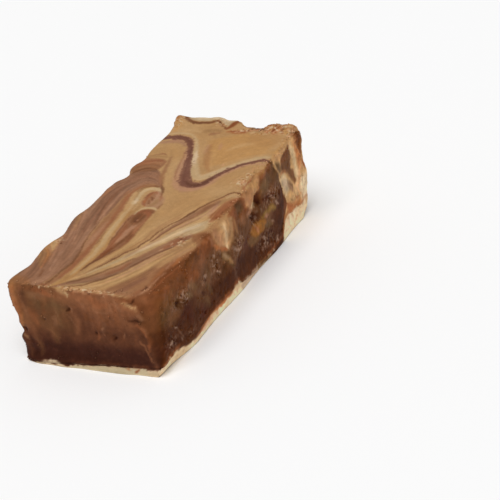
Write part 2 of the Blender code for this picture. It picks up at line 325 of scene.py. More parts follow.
TONES = {
    # the top
    "tan": (184, 143, 97), "tan deep": (176, 130, 82), "tan light": (197, 158, 112),
    "caramel": (188, 140, 86), "cream": (196, 165, 124), "cream pale": (210, 181, 146),
    "pink tan": (182, 134, 105), "peach": (204, 154, 114), "olive": (150, 112, 74),
    "mauve": (148, 106, 80), "mauve light": (165, 122, 96), "mauve dark": (128, 86, 65),
    "brown": (150, 103, 72), "brown red": (150, 91, 61), "brown dark": (118, 74, 48),
    "cocoa": (117, 76, 62), "cocoa deep": (96, 60, 45), "line": (110, 71, 48),
    "rust": (166, 103, 62), "rust deep": (132, 72, 42),
    # the upright faces
    "side tan": (169, 126, 86), "side pink": (152, 106, 78), "side cream": (188, 160, 122),
    "side light": (140, 90, 60), "side rust": (144, 85, 53), "side red": (113, 66, 39),
    "side brown": (98, 64, 42), "side dark": (72, 42, 28), "side mauve": (118, 87, 70),
    "side olive": (106, 78, 51), "olive dark": (84, 60, 38), "plum": (74, 40, 31),
    # The last two tones on the next line are painted light: glints on crumbs, and shade in hollows, pits and
    # gaps.
    "amber": (144, 93, 43), "gold": (132, 100, 50), "glint": (158, 130, 112), "hollow shade": (46, 22, 14),
    "near red": (136, 87, 58), "near olive": (109, 72, 46), "near mid": (90, 54, 37),
    "near dark": (63, 35, 27), "strip": (160, 108, 67),
    # the cream layer
    "vanilla": (214, 190, 156), "vanilla dull": (194, 168, 132), "grey cream": (166, 141, 119),
    "near cream": (190, 174, 141),
}

# The studio's light: a soft sun, a white sky and the pale floor.
KEY_DIRECTION = (-0.45, -0.05, 0.89)
KEY_STRENGTH = 2.33
SKY_STRENGTH = 0.38
FLOOR_SHADE = 0.93
BACKDROP = 0.95  # the sky as a low view sees it past the floor
LEAST_LIGHT = 0.70
FOOT_SHADE = 0.16  # the light lost at the foot of a long side
GLOSS = 0.005  # the light that the surface mirrors
GLOSS_ON_SIDES = 0.011


def studio_light(normals, z, near):
    """The light that reaches a surface, less at the foot of a long side. Faces turned away from the sun count
    as no darker than the right side, so that the same fudge has the same paint on them."""
    up = normals[:, 2]
    key = KEY_STRENGTH / math.pi * np.maximum(normals @ KEY_DIRECTION, 0)
    light = key + SKY_STRENGTH * (1 + up) / 2 + FLOOR_SHADE * (1 - up) / 2
    return np.maximum(light, LEAST_LIGHT) * (1 - FOOT_SHADE * smooth(8, 1, z) * (1 - near))


def tone(name):
    return np.array(TONES[name], float) / 255


def plain(name, count):
    return np.tile(tone(name), (count, 1))


def mix(colour, name, amount):
    """Moves colour towards a tone by an amount from 0 to 1 at each place."""
    colour += (tone(name) - colour) * amount[:, None]


def pigment(colour, light, gloss):
    """The linear colour of the paint that looks like colour in so much light and gloss."""
    colour = np.clip(colour, 0, 1)
    linear = np.where(colour > 0.04045, ((colour + 0.055) / 1.055) ** 2.4, colour / 12.92)
    return np.clip((linear - gloss) / light, 0.001, 0.95)


def spline(points, steps=8):
    """A smooth line through points of any size, with steps pieces between neighbours."""
    p = np.array(points, float)
    p = np.vstack([2 * p[0] - p[1], p, 2 * p[-1] - p[-2]])
    t = np.linspace(0, 1, steps, endpoint=False)[:, None]
    parts = []
    for a, b, c, d in zip(p[:-3], p[1:-2], p[2:-1], p[3:]):
        parts.append(
            0.5 * (2 * b + (c - a) * t + (2 * a - 5 * b + 4 * c - d) * t**2 + (3 * b - a - 3 * c + d) * t**3)
        )
    return np.vstack([*parts, p[-2:-1]])


def line_mask(a, b, line, soft):
    """How far each place (a, b) lies inside a line of (a, b, half width) points: 1 in it, 0 outside it."""
    best = np.full(len(a), 1e9)
    for start, end in zip(line[:-1], line[1:]):
        run = end[:2] - start[:2]
        share = np.clip(((a - start[0]) * run[0] + (b - start[1]) * run[1]) / max(run @ run, 1e-9), 0, 1)
        width = start[2] + share * (end[2] - start[2])
        away = np.hypot(a - start[0] - share * run[0], b - start[1] - share * run[1]) - width
        best = np.minimum(best, away)
    return smooth(soft, -soft, best)


def region_mask(a, b, outline, soft):
    """1 inside a closed outline of (a, b) points, 0 outside it."""
    best = np.full(len(a), 1e9)
    inside = np.zeros(len(a), bool)
    for start, end in zip(outline, np.roll(outline, -1, 0)):
        run = end - start
        share = np.clip(((a - start[0]) * run[0] + (b - start[1]) * run[1]) / max(run @ run, 1e-9), 0, 1)
        best = np.minimum(best, np.hypot(a - start[0] - share * run[0], b - start[1] - share * run[1]))
        crosses = (start[1] > b) != (end[1] > b)
        with np.errstate(divide="ignore", invalid="ignore"):
            where = start[0] + (b - start[1]) * run[0] / run[1]
        inside ^= crosses & (a < where)
    return smooth(soft, -soft, np.where(inside, -best, best))


def near_to(a, b, points, reach):
    """The places within reach of the box round points."""
    low, high = points[:, :2].min(0) - reach, points[:, :2].max(0) + reach
    return np.flatnonzero((a > low[0]) & (a < high[0]) & (b > low[1]) & (b < high[1]))


def paint(colour, a, b, strokes):
    """Paints strokes in turn: (tone, opacity, softness, points), with (a, b, half width) points for a line
    and (a, b) points for a region."""
    for name, opacity, soft, points in strokes:
        if len(points[0]) == 3:
            line = spline(points)
            at = near_to(a, b, line, line[:, 2].max() + soft)
            mask = line_mask(a[at], b[at], line, soft)
        else:
            outline = spline([*points, points[0]], 4)[:-1]
            at = near_to(a, b, outline, soft)
            mask = region_mask(a[at], b[at], outline, soft)
        colour[at] += (tone(name) - colour[at]) * (mask * opacity)[:, None]


def specks(colour, x, y, z, mask, cell, seed, name, opacity):
    """Scatters small specks of a tone where mask allows them."""
    mix(colour, name, opacity * mask * smooth(0.32, 0.66, noise(x, y, z, cell, seed)))


# ---------------------------------------------------------------------------------------------------------
# The top, in (X, Y).

SWOOSH = [
    (-57, 14), (-50, 12), (-45, 11), (-40, 10.7), (-35, 11.4), (-30, 13), (-24, 14), (-12, 14.6), (0, 14.8),
    (7, 13.4), (10, 10.2), (9, 7), (6, 4.2), (14, 8.4), (18.6, 12), (19.6, 16), (16.8, 20), (11, 24),
    (-20, 27), (-58, 27),
]
FAN = [
    (-56.5, 9), (-44, 3.6), (-30, -1.6), (-18, -5), (-6, -11), (4, -16), (9, -21), (7, -26), (-26, -26),
    (-40, -20), (-57, -12),
]
TEARDROP = [
    (-46, 5.2), (-40, 4.1), (-33, 3.9), (-26, 4.8), (-19, 5.9), (-14, 6.4), (-10, 5.6), (-7.4, 3.4),
    (-6.8, 1), (-7.4, -0.7), (-14, -0.9), (-21, -1.4), (-29, -1.2), (-35, 0.6), (-40, 2.9),
]
BAND = [
    (40.6, 23.4, 1.2), (42.4, 20.8, 1.3), (43.3, 17.6, 1.4), (43.2, 14.8, 1.35), (41.8, 12.1, 1.3),
    (38.4, 9.7, 1.1), (34, 7.8, 1.0), (29, 5.6, 1.05), (24.4, 3.7, 1.3), (19.6, 2, 1.6), (15, 0, 1.9),
    (11.6, -2, 2.2), (10.4, -4.8, 1.8), (10.6, -7.2, 1.6), (12.4, -8.6, 1.4), (15.2, -9.4, 1.2),
    (18.2, -10.6, 1.0), (21.2, -12, 0.85), (24.2, -14, 0.75), (27, -16.2, 0.75), (29, -18.8, 0.8),
    (30.3, -21.4, 0.9), (30.2, -23.6, 0.8), (28.6, -25.4, 0.6),
]
PATCH = [
    (16.4, 20.6), (18, 23.6), (26.4, 23.6), (27.4, 19), (27.4, 15.2), (25.6, 12.6), (21, 12), (18.6, 13.4),
]

TOP_STROKES = [
    # the swoosh of mauve along the left edge, and the reddish band under it
    ("mauve", 1.0, 0.5, SWOOSH),
    ("brown", 0.85, 0.7, [
        (-56, 10.5), (-45, 8.2), (-33, 8.2), (-24, 9.6), (-12, 10.2), (-2, 12.4), (4, 12.9), (8, 10.8),
        (8.6, 7), (10, 8.5), (9.4, 11.5), (6, 14), (-4, 14.6), (-24, 13.6), (-36, 11.2), (-46, 10.8),
        (-56, 13.5),
    ]),
    ("brown red", 0.6, 0.8, [
        (-50, 9.8, 0.4), (-42, 9.4, 0.8), (-32, 9.4, 0.7), (-20, 10.9, 0.7), (-8, 12.2, 0.8),
        (2, 13.8, 0.7), (8, 12, 0.4),
    ]),
    ("pink tan", 0.5, 0.8, [(-34, 11.0, 0.5), (-28, 11.3, 1.2), (-22, 11.6, 0.9), (-16, 12.2, 0.3)]),
    ("line", 0.8, 0.28, [
        (-56, 13.2, 0.4), (-53.4, 11.8, 0.45), (-50, 11.4, 0.3), (-45, 10.9, 0.35), (-41, 10.5, 0.4),
        (-35, 11.3, 0.3), (-30, 12.8, 0.3), (-25, 13.8, 0.25), (-19, 14.4, 0.25), (-13, 15.6, 0.2),
    ]),
    ("line", 0.55, 0.3, [(-30, 8.4, 0.15), (-27, 8.7, 0.3), (-22, 9.3, 0.15)]),
    ("mauve dark", 0.45, 0.4, [(-30, 17.4, 0.3), (-22, 19.6, 0.4), (-14, 21.4, 0.3)]),
    ("mauve light", 0.8, 0.4, [
        (-47, 14.9, 0.2), (-40, 16.4, 0.35), (-34, 17.4, 0.4), (-27, 19.2, 0.4), (-20, 21.6, 0.3),
    ]),
    ("mauve dark", 0.4, 0.8, [(-24, 17, 0.6), (-12, 18.4, 1.0), (-2, 19.4, 1.4), (6, 19, 0.8)]),
    ("brown dark", 0.5, 0.4, [(-19, 15.2, 0.2), (-12, 17.2, 0.3), (-4, 18.6, 0.3), (4, 18.8, 0.2)]),
    ("mauve light", 0.45, 0.7, [
        (-10, 16.4, 0.4), (0, 17, 0.8), (8, 16.4, 0.8), (12.6, 13, 0.6), (11.6, 9, 0.3),
    ]),
    ("mauve light", 0.4, 0.6, [(10, 21.6, 0.4), (15, 18.6, 0.7), (16.8, 15, 0.6), (14.6, 10.6, 0.4)]),
    ("mauve dark", 0.45, 0.5, [(2, 21.6, 0.5), (10, 19.6, 0.5), (14.2, 15.6, 0.6), (13.2, 11.4, 0.3)]),
    ("brown dark", 0.8, 0.6, [(-51, 16.2, 0.2), (-49.6, 16.5, 0.4), (-47.4, 17.2, 0.15)]),
    ("rust", 0.5, 0.8, [(-1, 23, 0.3), (2, 22.6, 0.5), (5, 22.8, 0.3)]),
    ("rust", 0.4, 0.5, [(0, 15.2, 0.2), (2, 15.5, 0.4), (4, 15.4, 0.2)]),
    # tan patches by the left edge
    ("tan deep", 0.85, 0.8, [
        (-46, 19), (-38, 20), (-32, 21.4), (-29, 23.5), (-29, 26), (-38, 26), (-40, 23.4), (-45, 20.6),
    ]),
    ("tan light", 0.7, 0.6, [(-37, 20.9, 0.3), (-33, 22.2, 0.8), (-30.4, 23.2, 0.7)]),
    ("cream", 0.7, 0.4, [(-31.6, 21.4, 0.15), (-30, 21.7, 0.4), (-28.8, 22, 0.15)]),
    ("rust", 0.6, 0.8, [(-46, 18.4, 0.4), (-41, 19.8, 0.8), (-38, 20.8, 0.8), (-35.5, 23, 0.5)]),
    ("strip", 0.8, 1.2, [(-58, 26), (-58, 17), (-55.4, 17.4), (-52.4, 20.4), (-52, 23), (-50, 26)]),
    ("tan deep", 0.45, 0.7, [(-23, 20.8, 0.3), (-17, 22.8, 0.6), (-12, 24.6, 0.5)]),
    ("pink tan", 0.4, 0.5, [(-30, 19.4, 0.2), (-24, 21, 0.4), (-19, 22.4, 0.2)]),
    # the second patch, right of the swoosh
    ("brown", 0.9, 0.5, PATCH),
    ("brown red", 0.8, 0.5, [(22, 22.4, 0.8), (24.4, 20, 1.1), (25.8, 17, 0.9), (25.8, 14.4, 0.5)]),
    ("rust deep", 0.4, 0.5, [(20.6, 21, 0.3), (22.6, 19, 0.5), (23.4, 16, 0.3)]),
    ("line", 0.85, 0.28, [
        (15.8, 20.8, 0.3), (17.8, 19.3, 0.5), (19.6, 16.8, 0.45), (20, 14.6, 0.3), (19, 12.6, 0.15),
    ]),
    ("olive", 0.6, 1.0, [(28, 20.6, 0.6), (29, 17.4, 0.9), (28.8, 14.4, 0.5)]),
    ("brown", 0.8, 0.3, [(28.4, 21, 0.1), (30, 18.4, 0.25), (30.9, 16.6, 0.4), (30.4, 14.8, 0.2)]),
    ("brown", 0.75, 0.7, [(9, 5.6, 0.4), (14, 8.2, 0.8), (20, 10, 0.7), (25, 11.4, 0.5), (29, 12.6, 0.2)]),
    # the long cream streak and its curl
    ("tan deep", 0.9, 0.6, [
        (-56, 8.6, 1.2), (-46, 6.4, 1.6), (-34, 5.8, 1.7), (-22, 7.2, 1.6), (-10, 8, 1.6), (0, 8.4, 1.6),
    ]),
    ("olive", 0.5, 0.5, [(-52, 7.6, 0.3), (-49, 7.2, 0.6), (-45, 6.9, 0.4)]),
    ("cream", 0.65, 0.6, [
        (-48, 7.1, 0.3), (-44, 6.6, 0.7), (-37, 6.2, 0.8), (-29, 6.6, 1.0), (-22, 7.7, 1.0),
        (-14, 8.5, 0.8), (-7, 8.9, 0.6), (-2, 9.5, 0.9),
    ]),
    ("cream", 0.6, 0.3, [(-34, 6.6, 0.15), (-26, 7.6, 0.3), (-18, 8.6, 0.3), (-10, 9.3, 0.2)]),
    ("cream", 0.95, 0.4, [
        (-4, 9.2, 0.9), (0, 9.9, 0.9), (3, 10.3, 0.8), (5.3, 9.8, 0.9), (6.6, 8.2, 1.0), (6.7, 6.5, 0.9),
        (5.8, 5, 0.55), (4.8, 4.1, 0.3),
    ]),
    ("cream pale", 0.9, 0.5, [(-4.4, 8.6, 0.2), (-2.6, 9.1, 0.6), (-0.8, 9.8, 0.3)]),
    ("tan light", 0.5, 0.5, [
        (-9, 9.9, 0.2), (-4, 11, 0.45), (0, 12.1, 0.5), (3.4, 12.3, 0.4), (6.4, 11.4, 0.2),
    ]),
    ("olive", 0.4, 0.5, [(-12, 6.6, 0.3), (-8, 6.2, 0.6), (-5.6, 6.2, 0.4)]),
    ("cream", 0.5, 0.7, [(-8, 7.2, 0.4), (-3, 7.8, 0.6), (1, 8.4, 0.5)]),
    ("olive", 0.6, 0.35, [(-2, 10.2, 0.15), (2, 11, 0.3), (5, 11.2, 0.35), (7, 10.4, 0.2)]),
    ("brown dark", 0.6, 0.45, [(4, 12.2, 0.2), (7.2, 11, 0.4), (8.6, 8.6, 0.5), (8.2, 6.2, 0.4)]),
    # the dark teardrop between the streaks
    ("brown", 1.0, 0.5, TEARDROP),
    ("brown dark", 0.8, 0.5, [
        (-44, 4.4, 0.3), (-38, 3.2, 0.7), (-32, 2.2, 0.9), (-27, 1.0, 0.6), (-22, 0.4, 0.3),
    ]),
    ("brown red", 0.6, 0.6, [
        (-40, 3.8, 0.2), (-33, 3.4, 0.5), (-26, 3.6, 0.8), (-20, 4.0, 0.8), (-17, 4.6, 0.4),
    ]),
    ("pink tan", 0.7, 0.6, [(-31, 2.2, 0.2), (-26, 2.3, 0.6), (-21, 2.2, 0.9), (-17.6, 1.4, 0.5)]),
    ("brown dark", 0.7, 0.3, [(-30, 4.4, 0.15), (-24, 4.9, 0.25), (-18, 5.6, 0.25), (-13, 5.6, 0.2)]),
    ("pink tan", 0.6, 0.3, [(-27, 5.2, 0.1), (-21, 5.7, 0.25), (-15.6, 6.2, 0.1)]),
    ("brown dark", 0.8, 0.6, [(-27, -0.6, 0.3), (-24, -0.2, 0.7), (-21, 0.2, 0.4)]),
    ("rust deep", 0.4, 0.35, [(-14, -0.4, 0.1), (-12, -0.3, 0.3), (-9.6, 0.4, 0.1)]),
    ("brown red", 0.9, 0.7, [(-11, 5.0, 0.3), (-8.8, 3.4, 1.0), (-8.6, 1.4, 1.2), (-10.4, 0.4, 0.8)]),
    ("rust deep", 0.55, 0.5, [(-38, 3.2, 0.2), (-34, 2.4, 0.5), (-29, 2.0, 0.3)]),
    ("brown dark", 0.85, 0.9, [
        (-16.4, 2.2), (-15.4, 3.8), (-12.6, 4.6), (-10.2, 3.8), (-10, 1.8), (-12.4, 0.8), (-15, 1),
    ]),
    ("cocoa deep", 0.5, 0.5, [(-15.6, 1.9, 0.2), (-14.6, 3.0, 0.4), (-13, 3.6, 0.3)]),
    ("pink tan", 0.5, 0.25, [(-14.6, 2.1, 0.1), (-14, 2.4, 0.25), (-13.5, 2.2, 0.1)]),
    ("pink tan", 0.6, 0.4, [(-19.2, 1.2, 0.2), (-18.4, 2.2, 0.5), (-17.4, 2.8, 0.2)]),
    ("line", 0.7, 0.35, [(-45, 4.9, 0.3), (-40, 3.6, 0.4), (-36.5, 2, 0.4), (-33, 0.6, 0.3)]),
    ("brown red", 0.5, 0.4, [(-30, -0.6, 0.2), (-24, -0.9, 0.4), (-19, -0.6, 0.2)]),
    ("cream", 0.95, 0.32, [
        (-10.6, 5.3, 0.2), (-8, 4.9, 0.4), (-6.3, 3.8, 0.65), (-5.8, 2.2, 0.7), (-6.1, 0.8, 0.6),
        (-6.8, -0.6, 0.4),
    ]),
    # the knot inside the curl
    ("mauve light", 0.7, 0.7, [
        (-5.6, -0.6), (-5.2, 3), (-5, 5.2), (-3, 6.6), (0, 7.4), (3.4, 7.4), (5, 6.2), (5.2, 4.6), (4, 3),
        (1, 0.8), (-2, -0.6),
    ]),
    ("olive", 0.6, 0.7, [(-4.6, 3.4, 0.4), (-3, 2.2, 0.9), (-0.6, 2.2, 0.5)]),
    ("brown red", 0.85, 0.6, [
        (-4.8, 4.9, 0.4), (-2.4, 6.0, 0.6), (0.6, 6.7, 0.6), (3.2, 6.6, 0.7), (4.3, 5.4, 0.5),
        (3.2, 4.4, 0.4),
    ]),
    ("rust", 0.8, 0.35, [(-3.4, 5.5, 0.15), (-2.2, 6.1, 0.35), (-1.2, 6.6, 0.15)]),
    ("brown", 0.7, 0.6, [(-3.2, 4.2, 0.5), (-1, 4.8, 0.9), (1.4, 5.0, 1.0), (3, 5.4, 0.6)]),
    ("brown dark", 0.6, 0.35, [(-3.6, 3.7, 0.15), (-2.4, 4.4, 0.3), (-0.8, 5, 0.15)]),
    ("brown dark", 0.55, 0.35, [(0.8, 7.2, 0.15), (2.4, 7.1, 0.3), (3.8, 6.4, 0.2)]),
    ("rust", 0.5, 0.3, [(0.6, 5.9, 0.1), (2, 6.2, 0.3), (3, 5.6, 0.1)]),
    ("brown dark", 0.75, 0.4, [(-1, 3.8, 0.2), (0.4, 4.6, 0.5), (1.2, 5.6, 0.2)]),
    ("pink tan", 0.7, 0.5, [(0.4, 3.2, 0.2), (2.4, 3.8, 0.5), (4.4, 4.6, 0.4)]),
    ("brown red", 0.5, 0.5, [(-1, 1.2, 0.2), (1.4, 1.9, 0.4), (3.6, 3.1, 0.2)]),
    ("brown dark", 0.5, 0.5, [(-5.6, -0.6, 0.4), (-4.4, -0.5, 0.4), (-2.6, -0.6, 0.1)]),
    ("line", 0.7, 0.35, [
        (2.6, 2.4, 0.1), (4.2, 3.0, 0.35), (6.4, 4.1, 0.55), (8.4, 5.2, 0.4), (10.4, 6.2, 0.15),
    ]),
    # the fan of bands from the near end
    ("mauve", 0.9, 0.5, [
        (-55.6, 9, 0.5), (-53.4, 6, 1.0), (-51.2, 2.6, 1.2), (-49.4, -1, 1.3), (-46.5, -4.4, 1.8),
        (-42, -7.6, 2.0), (-37, -10.4, 2.1), (-31, -13.4, 2.1), (-25, -16.6, 2.0), (-21, -19.4, 1.5),
    ]),
    ("line", 0.7, 0.35, [
        (-52.6, 5.6, 0.3), (-50, 2.2, 0.35), (-47, -1, 0.4), (-44, -3.2, 0.35), (-40.4, -5.6, 0.3),
        (-36, -8.2, 0.2),
    ]),
    ("line", 0.75, 0.35, [
        (-55, 5, 0.3), (-53.4, 1.4, 0.4), (-51, -2, 0.45), (-48, -5.4, 0.45), (-44.6, -8, 0.4),
        (-40, -10.2, 0.4), (-35.4, -12.6, 0.35), (-30.6, -15.2, 0.35), (-27, -17.4, 0.3),
    ]),
    ("brown red", 0.6, 0.6, [(-46, -4.6, 0.5), (-42.4, -6.8, 0.9), (-39, -8.4, 0.5)]),
    ("pink tan", 0.6, 0.35, [(-44, -5.6, 0.15), (-41.6, -6.4, 0.3), (-40, -7, 0.15)]),
    ("brown red", 0.6, 0.7, [(-29, -14.6, 0.5), (-25.6, -16.2, 1.2), (-22.4, -18.4, 1.0)]),
    ("peach", 0.6, 0.3, [(-30.6, -14.0, 0.2), (-29.8, -14.4, 0.4), (-29, -14.6, 0.15)]),
    ("tan", 0.75, 0.8, [
        (-55, -1, 0.8), (-53, -5, 1.3), (-49, -8.8, 1.7), (-43, -12.4, 1.9), (-37, -15.4, 2.0),
        (-31, -18, 1.8),
    ]),
    ("pink tan", 0.5, 0.6, [(-50, -6.4, 0.3), (-44, -10.6, 0.6), (-38, -13.6, 0.7), (-32, -16.4, 0.5)]),
    ("tan light", 0.5, 0.5, [(-55, 2.6, 0.4), (-54, -2, 0.5), (-51.4, -6, 0.4)]),
    ("brown", 0.85, 0.9, [
        (-56, -8), (-52.4, -9.6), (-47, -13.2), (-41, -16.4), (-37, -19), (-37, -23), (-56, -23),
    ]),
    ("mauve dark", 0.6, 1.0, [(-54.6, -12.4, 0.6), (-51, -14.6, 1.4), (-46, -17, 1.0)]),
    ("cream", 0.9, 0.5, [
        (-47, 1.8, 0.25), (-43, -0.9, 0.5), (-39.6, -3.2, 0.7), (-35.6, -5.2, 1.0), (-31.6, -7.4, 1.1),
        (-27.6, -9.8, 1.3), (-23.4, -12.4, 1.6), (-19, -15.2, 1.9), (-15, -18.4, 2.1), (-12.6, -21, 1.8),
    ]),
    ("cream pale", 0.55, 0.7, [
        (-34, -6.4, 0.3), (-29, -9, 0.6), (-23, -12.8, 0.7), (-16.4, -18, 1.0), (-13, -20, 0.6),
    ]),
    ("vanilla", 0.4, 0.6, [(-19, -16, 0.3), (-16, -18.4, 0.8), (-13.4, -19.8, 0.4)]),
    ("pink tan", 0.45, 0.5, [(-36, -4.8, 0.3), (-30, -7.6, 0.5), (-24, -10.6, 0.4)]),
    ("line", 0.85, 0.26, [
        (-43.6, 0.6, 0.2), (-40, -1, 0.3), (-37, -2.2, 0.35), (-33, -4, 0.35), (-30, -5.6, 0.35),
        (-26.6, -7, 0.3), (-22, -8, 0.3), (-17.4, -9.1, 0.35), (-15, -9.8, 0.45), (-12, -11.3, 0.4),
        (-8, -12.8, 0.5), (-5, -14, 0.4), (-2, -15.6, 0.4), (1, -17.2, 0.38), (4, -18.8, 0.35),
        (6.4, -20, 0.35), (7.8, -21.4, 0.35), (7.9, -22.8, 0.35), (6.6, -24.4, 0.3),
    ]),
    ("mauve", 0.85, 0.45, [
        (-25, -8.6, 0.4), (-18, -10.6, 0.7), (-11, -13.4, 1.1), (-5, -16.2, 1.4), (-1.6, -18, 1.2),
        (1.6, -19.2, 0.6),
    ]),
    ("line", 0.6, 0.3, [(-26, -8.4, 0.25), (-20, -10.6, 0.3), (-14.4, -12.6, 0.3), (-9, -15, 0.2)]),
    ("brown dark", 0.6, 0.6, [(-7, -15.6, 0.3), (-3.6, -17, 0.8), (-0.6, -18.2, 0.5)]),
    ("pink tan", 0.75, 0.4, [
        (-21, -12, 0.2), (-15.4, -14, 0.5), (-11.6, -16, 0.5), (-6.6, -18.6, 0.5), (-1, -19.4, 0.5),
    ]),
    ("olive", 0.6, 0.35, [(-19, -13, 0.2), (-14, -15.4, 0.4), (-9.6, -18, 0.3)]),
    ("tan deep", 0.5, 0.8, [(-33, -3, 0.3), (-30.4, -4, 0.9), (-26.5, -5, 0.4)]),
    # the S-shaped cocoa band, its cream edge and the broad tan beside it
    ("mauve light", 0.5, 1.6, [(8.4, 0.4), (5.4, -4), (7.6, -8.4), (10.6, -9), (9, -4)]),
    ("cream", 0.9, 0.7, [
        (45.6, 21.6, 0.5), (46.6, 16, 0.5), (45, 12, 0.3), (40, 8.2, 0.6), (35, 6, 0.9), (31, 4.4, 1.2),
        (26, 2.2, 1.5), (20.6, -0.6, 1.6), (16.4, -3.4, 1.7), (15.6, -6, 1.6), (19.4, -9, 1.6),
        (24, -12.2, 1.4), (28.2, -15.8, 1.2), (31.6, -19.6, 1.1), (33, -23.4, 0.9),
    ]),
    ("cream pale", 0.9, 0.5, [(24, 1.4, 0.2), (28, 2.8, 0.8), (31, 4.0, 0.9), (34, 5.2, 0.4)]),
    ("vanilla", 0.55, 0.5, [(26.4, 2.4, 0.2), (29, 3.2, 0.5), (31.6, 4.2, 0.4)]),
    ("cream pale", 0.3, 0.8, [(17, -5, 0.5), (20, -8.4, 0.7), (25, -12.6, 0.5)]),
    ("mauve light", 0.7, 0.9, [(38.4, 21, 0.8), (40, 17, 1.5), (40, 14, 1.1), (37.6, 11, 0.5)]),
    ("pink tan", 0.7, 0.9, [
        (36, 9.4, 0.8), (29, 6.8, 1.2), (23, 5.0, 1.5), (17, 3.0, 1.9), (11, 0.6, 2.2), (8.2, -3.4, 2.0),
        (9, -7.6, 1.8), (12.4, -9.8, 1.5), (17, -11.2, 1.2), (22, -13.4, 1.0), (27, -17, 1.0),
    ]),
    ("pink tan", 0.6, 0.5, [(40, 18.6, 0.2), (40.6, 16.4, 0.6), (40.4, 14.4, 0.3)]),
    ("cocoa", 0.95, 0.4, BAND),
    ("mauve", 0.5, 0.5, [(26, 4.8, 0.2), (20, 3.2, 0.5), (15, 1.6, 0.5), (11, -0.4, 0.3)]),
    ("cocoa deep", 0.65, 0.6, [
        (12.6, -1.6, 0.3), (10.8, -4.2, 0.8), (10.6, -6.8, 0.9), (12.6, -8.6, 0.6), (16, -9.8, 0.4),
    ]),
    ("cocoa deep", 0.4, 0.4, [
        (43.6, 20, 0.3), (44, 16, 0.4), (42.6, 12.8, 0.3), (38, 9.2, 0.25), (30, 6, 0.2),
    ]),
    ("brown", 0.55, 0.4, [(13, 2.9, 0.2), (18, 4.9, 0.3), (23, 6.2, 0.3), (28, 7.8, 0.3), (33, 9.6, 0.2)]),
    ("pink tan", 0.6, 0.5, [(24, -14.8, 0.2), (27, -18.4, 0.4), (28, -22, 0.6), (27.4, -24, 0.3)]),
    ("caramel", 0.8, 1.8, [
        (24, -5), (32, -1), (42, 3.6), (46, -2), (48, -9), (45, -19), (36, -20), (31, -14), (26, -9),
    ]),
    ("strip", 0.5, 0.9, [
        (20, -6.4, 0.3), (23.6, -4, 0.8), (29, -1.4, 1.1), (35, 1.0, 1.0), (39, 1.6, 0.4),
    ]),
    ("pink tan", 0.4, 0.9, [(33, 1.4, 0.3), (36, 2.2, 0.8), (39, 2.6, 0.4)]),
    ("pink tan", 0.5, 0.7, [(36, -3, 0.3), (38.6, -2.2, 0.7), (40.6, -1.6, 0.3)]),
    ("tan light", 0.6, 1.2, [(46, 22, 0.6), (48.4, 20, 1.5), (49, 14, 1.2), (48, 10, 0.5)]),
    ("tan light", 0.45, 1.2, [(36, -6, 0.5), (40, -9, 1.5), (42, -13, 0.8)]),
    ("caramel", 0.6, 1.0, [(44, -2, 0.5), (48, -6, 1.2), (48.6, -12, 1.0)]),
    ("tan deep", 0.55, 1.6, [(43, -11), (48, -9), (51, -15), (48, -22), (42, -22), (41, -16)]),
    ("caramel", 0.5, 0.9, [(34, -14, 0.6), (35.6, -19, 1.2), (37, -23, 1.0)]),
    ("olive", 0.6, 1.2, [(48, 9.4, 0.6), (50, 7.4, 1.6), (50.6, 4, 1.0)]),
    ("brown", 0.75, 0.8, [(46.4, 6, 0.3), (47.4, 5.2, 0.9), (48.6, 3.2, 0.5)]),
    ("peach", 0.8, 0.25, [(24.4, -9.4, 0.1), (25, -9.2, 0.4), (25.8, -9.2, 0.1)]),
    ("peach", 0.6, 0.4, [(14.2, -18.4, 0.3), (15, -20, 0.6), (15.2, -22, 0.3)]),
    ("peach", 0.6, 0.3, [(20.4, -20.8, 0.15), (21.4, -21.4, 0.3), (24.4, -21.6, 0.2)]),
    # the far edge: brown line, rust crumble and the pale lip beyond the line
    ("caramel", 0.8, 0.9, [(48, 20.6, 0.5), (52, 21.4, 1.2), (56, 23, 1.3), (60, 25, 1.0)]),
    ("rust", 0.75, 0.7, [(55, 23, 0.4), (58, 24, 0.9), (61, 25.4, 1.0)]),
    ("vanilla dull", 0.95, 0.5, [
        (61.6, 22), (58.4, 20.4), (56.6, 17.6), (56.2, 14), (56.6, 11), (58.6, 8.4), (57, 6.2), (54.6, 4),
        (53.4, 2), (56, 1), (58, 0.2), (62, 2), (63, 12),
    ]),
    ("vanilla", 0.7, 0.9, [
        (60.4, 19, 0.8), (58.8, 15, 1.3), (59.4, 10, 1.0), (58.6, 5, 0.8), (57, 2.6, 0.6),
    ]),
    ("brown dark", 0.95, 0.4, [
        (60.4, 22.8, 0.6), (58, 20.8, 0.8), (55.9, 18.4, 0.8), (54.7, 15.2, 0.9), (55.2, 12, 0.8),
        (55.6, 10, 0.6), (57.3, 8, 0.5), (56.4, 6.5, 0.3), (54, 4.5, 0.3), (52.4, 2.8, 0.35),
    ]),
    ("rust deep", 0.9, 0.5, [(52.2, 1.9, 0.6), (54, 0.7, 0.9), (56.4, 0, 0.8), (58, -0.6, 0.5)]),
    ("rust", 0.85, 0.8, [(50, 0.6, 0.5), (49.8, -2.4, 1.4), (50.2, -6, 1.1)]),
    ("rust deep", 0.75, 0.5, [(50.4, -0.6, 0.3), (50.8, -3.4, 0.6), (50.6, -6, 0.3)]),
    # The next two strokes are a painted shadow in a notch of the rim.
    ("brown dark", 0.75, 0.5, [(50.8, -7, 0.5), (51.8, -9.6, 0.8), (52.2, -12.4, 0.6)]),
    ("hollow shade", 0.8, 0.35, [(51.6, -8.2, 0.2), (52.6, -10.2, 0.5), (52.8, -12.6, 0.25)]),
    ("rust", 0.95, 0.7, [(50.8, -14.2, 0.6), (53.6, -14.2, 1.6), (57, -13.8, 1.3)]),
    ("rust", 0.9, 0.9, [(49.8, -17.2, 0.5), (53.2, -17.4, 1.5), (56.4, -18.6, 1.2)]),
    ("caramel", 0.85, 0.8, [(50.2, -21.4, 0.7), (54, -20.6, 1.3), (57, -20, 0.9)]),
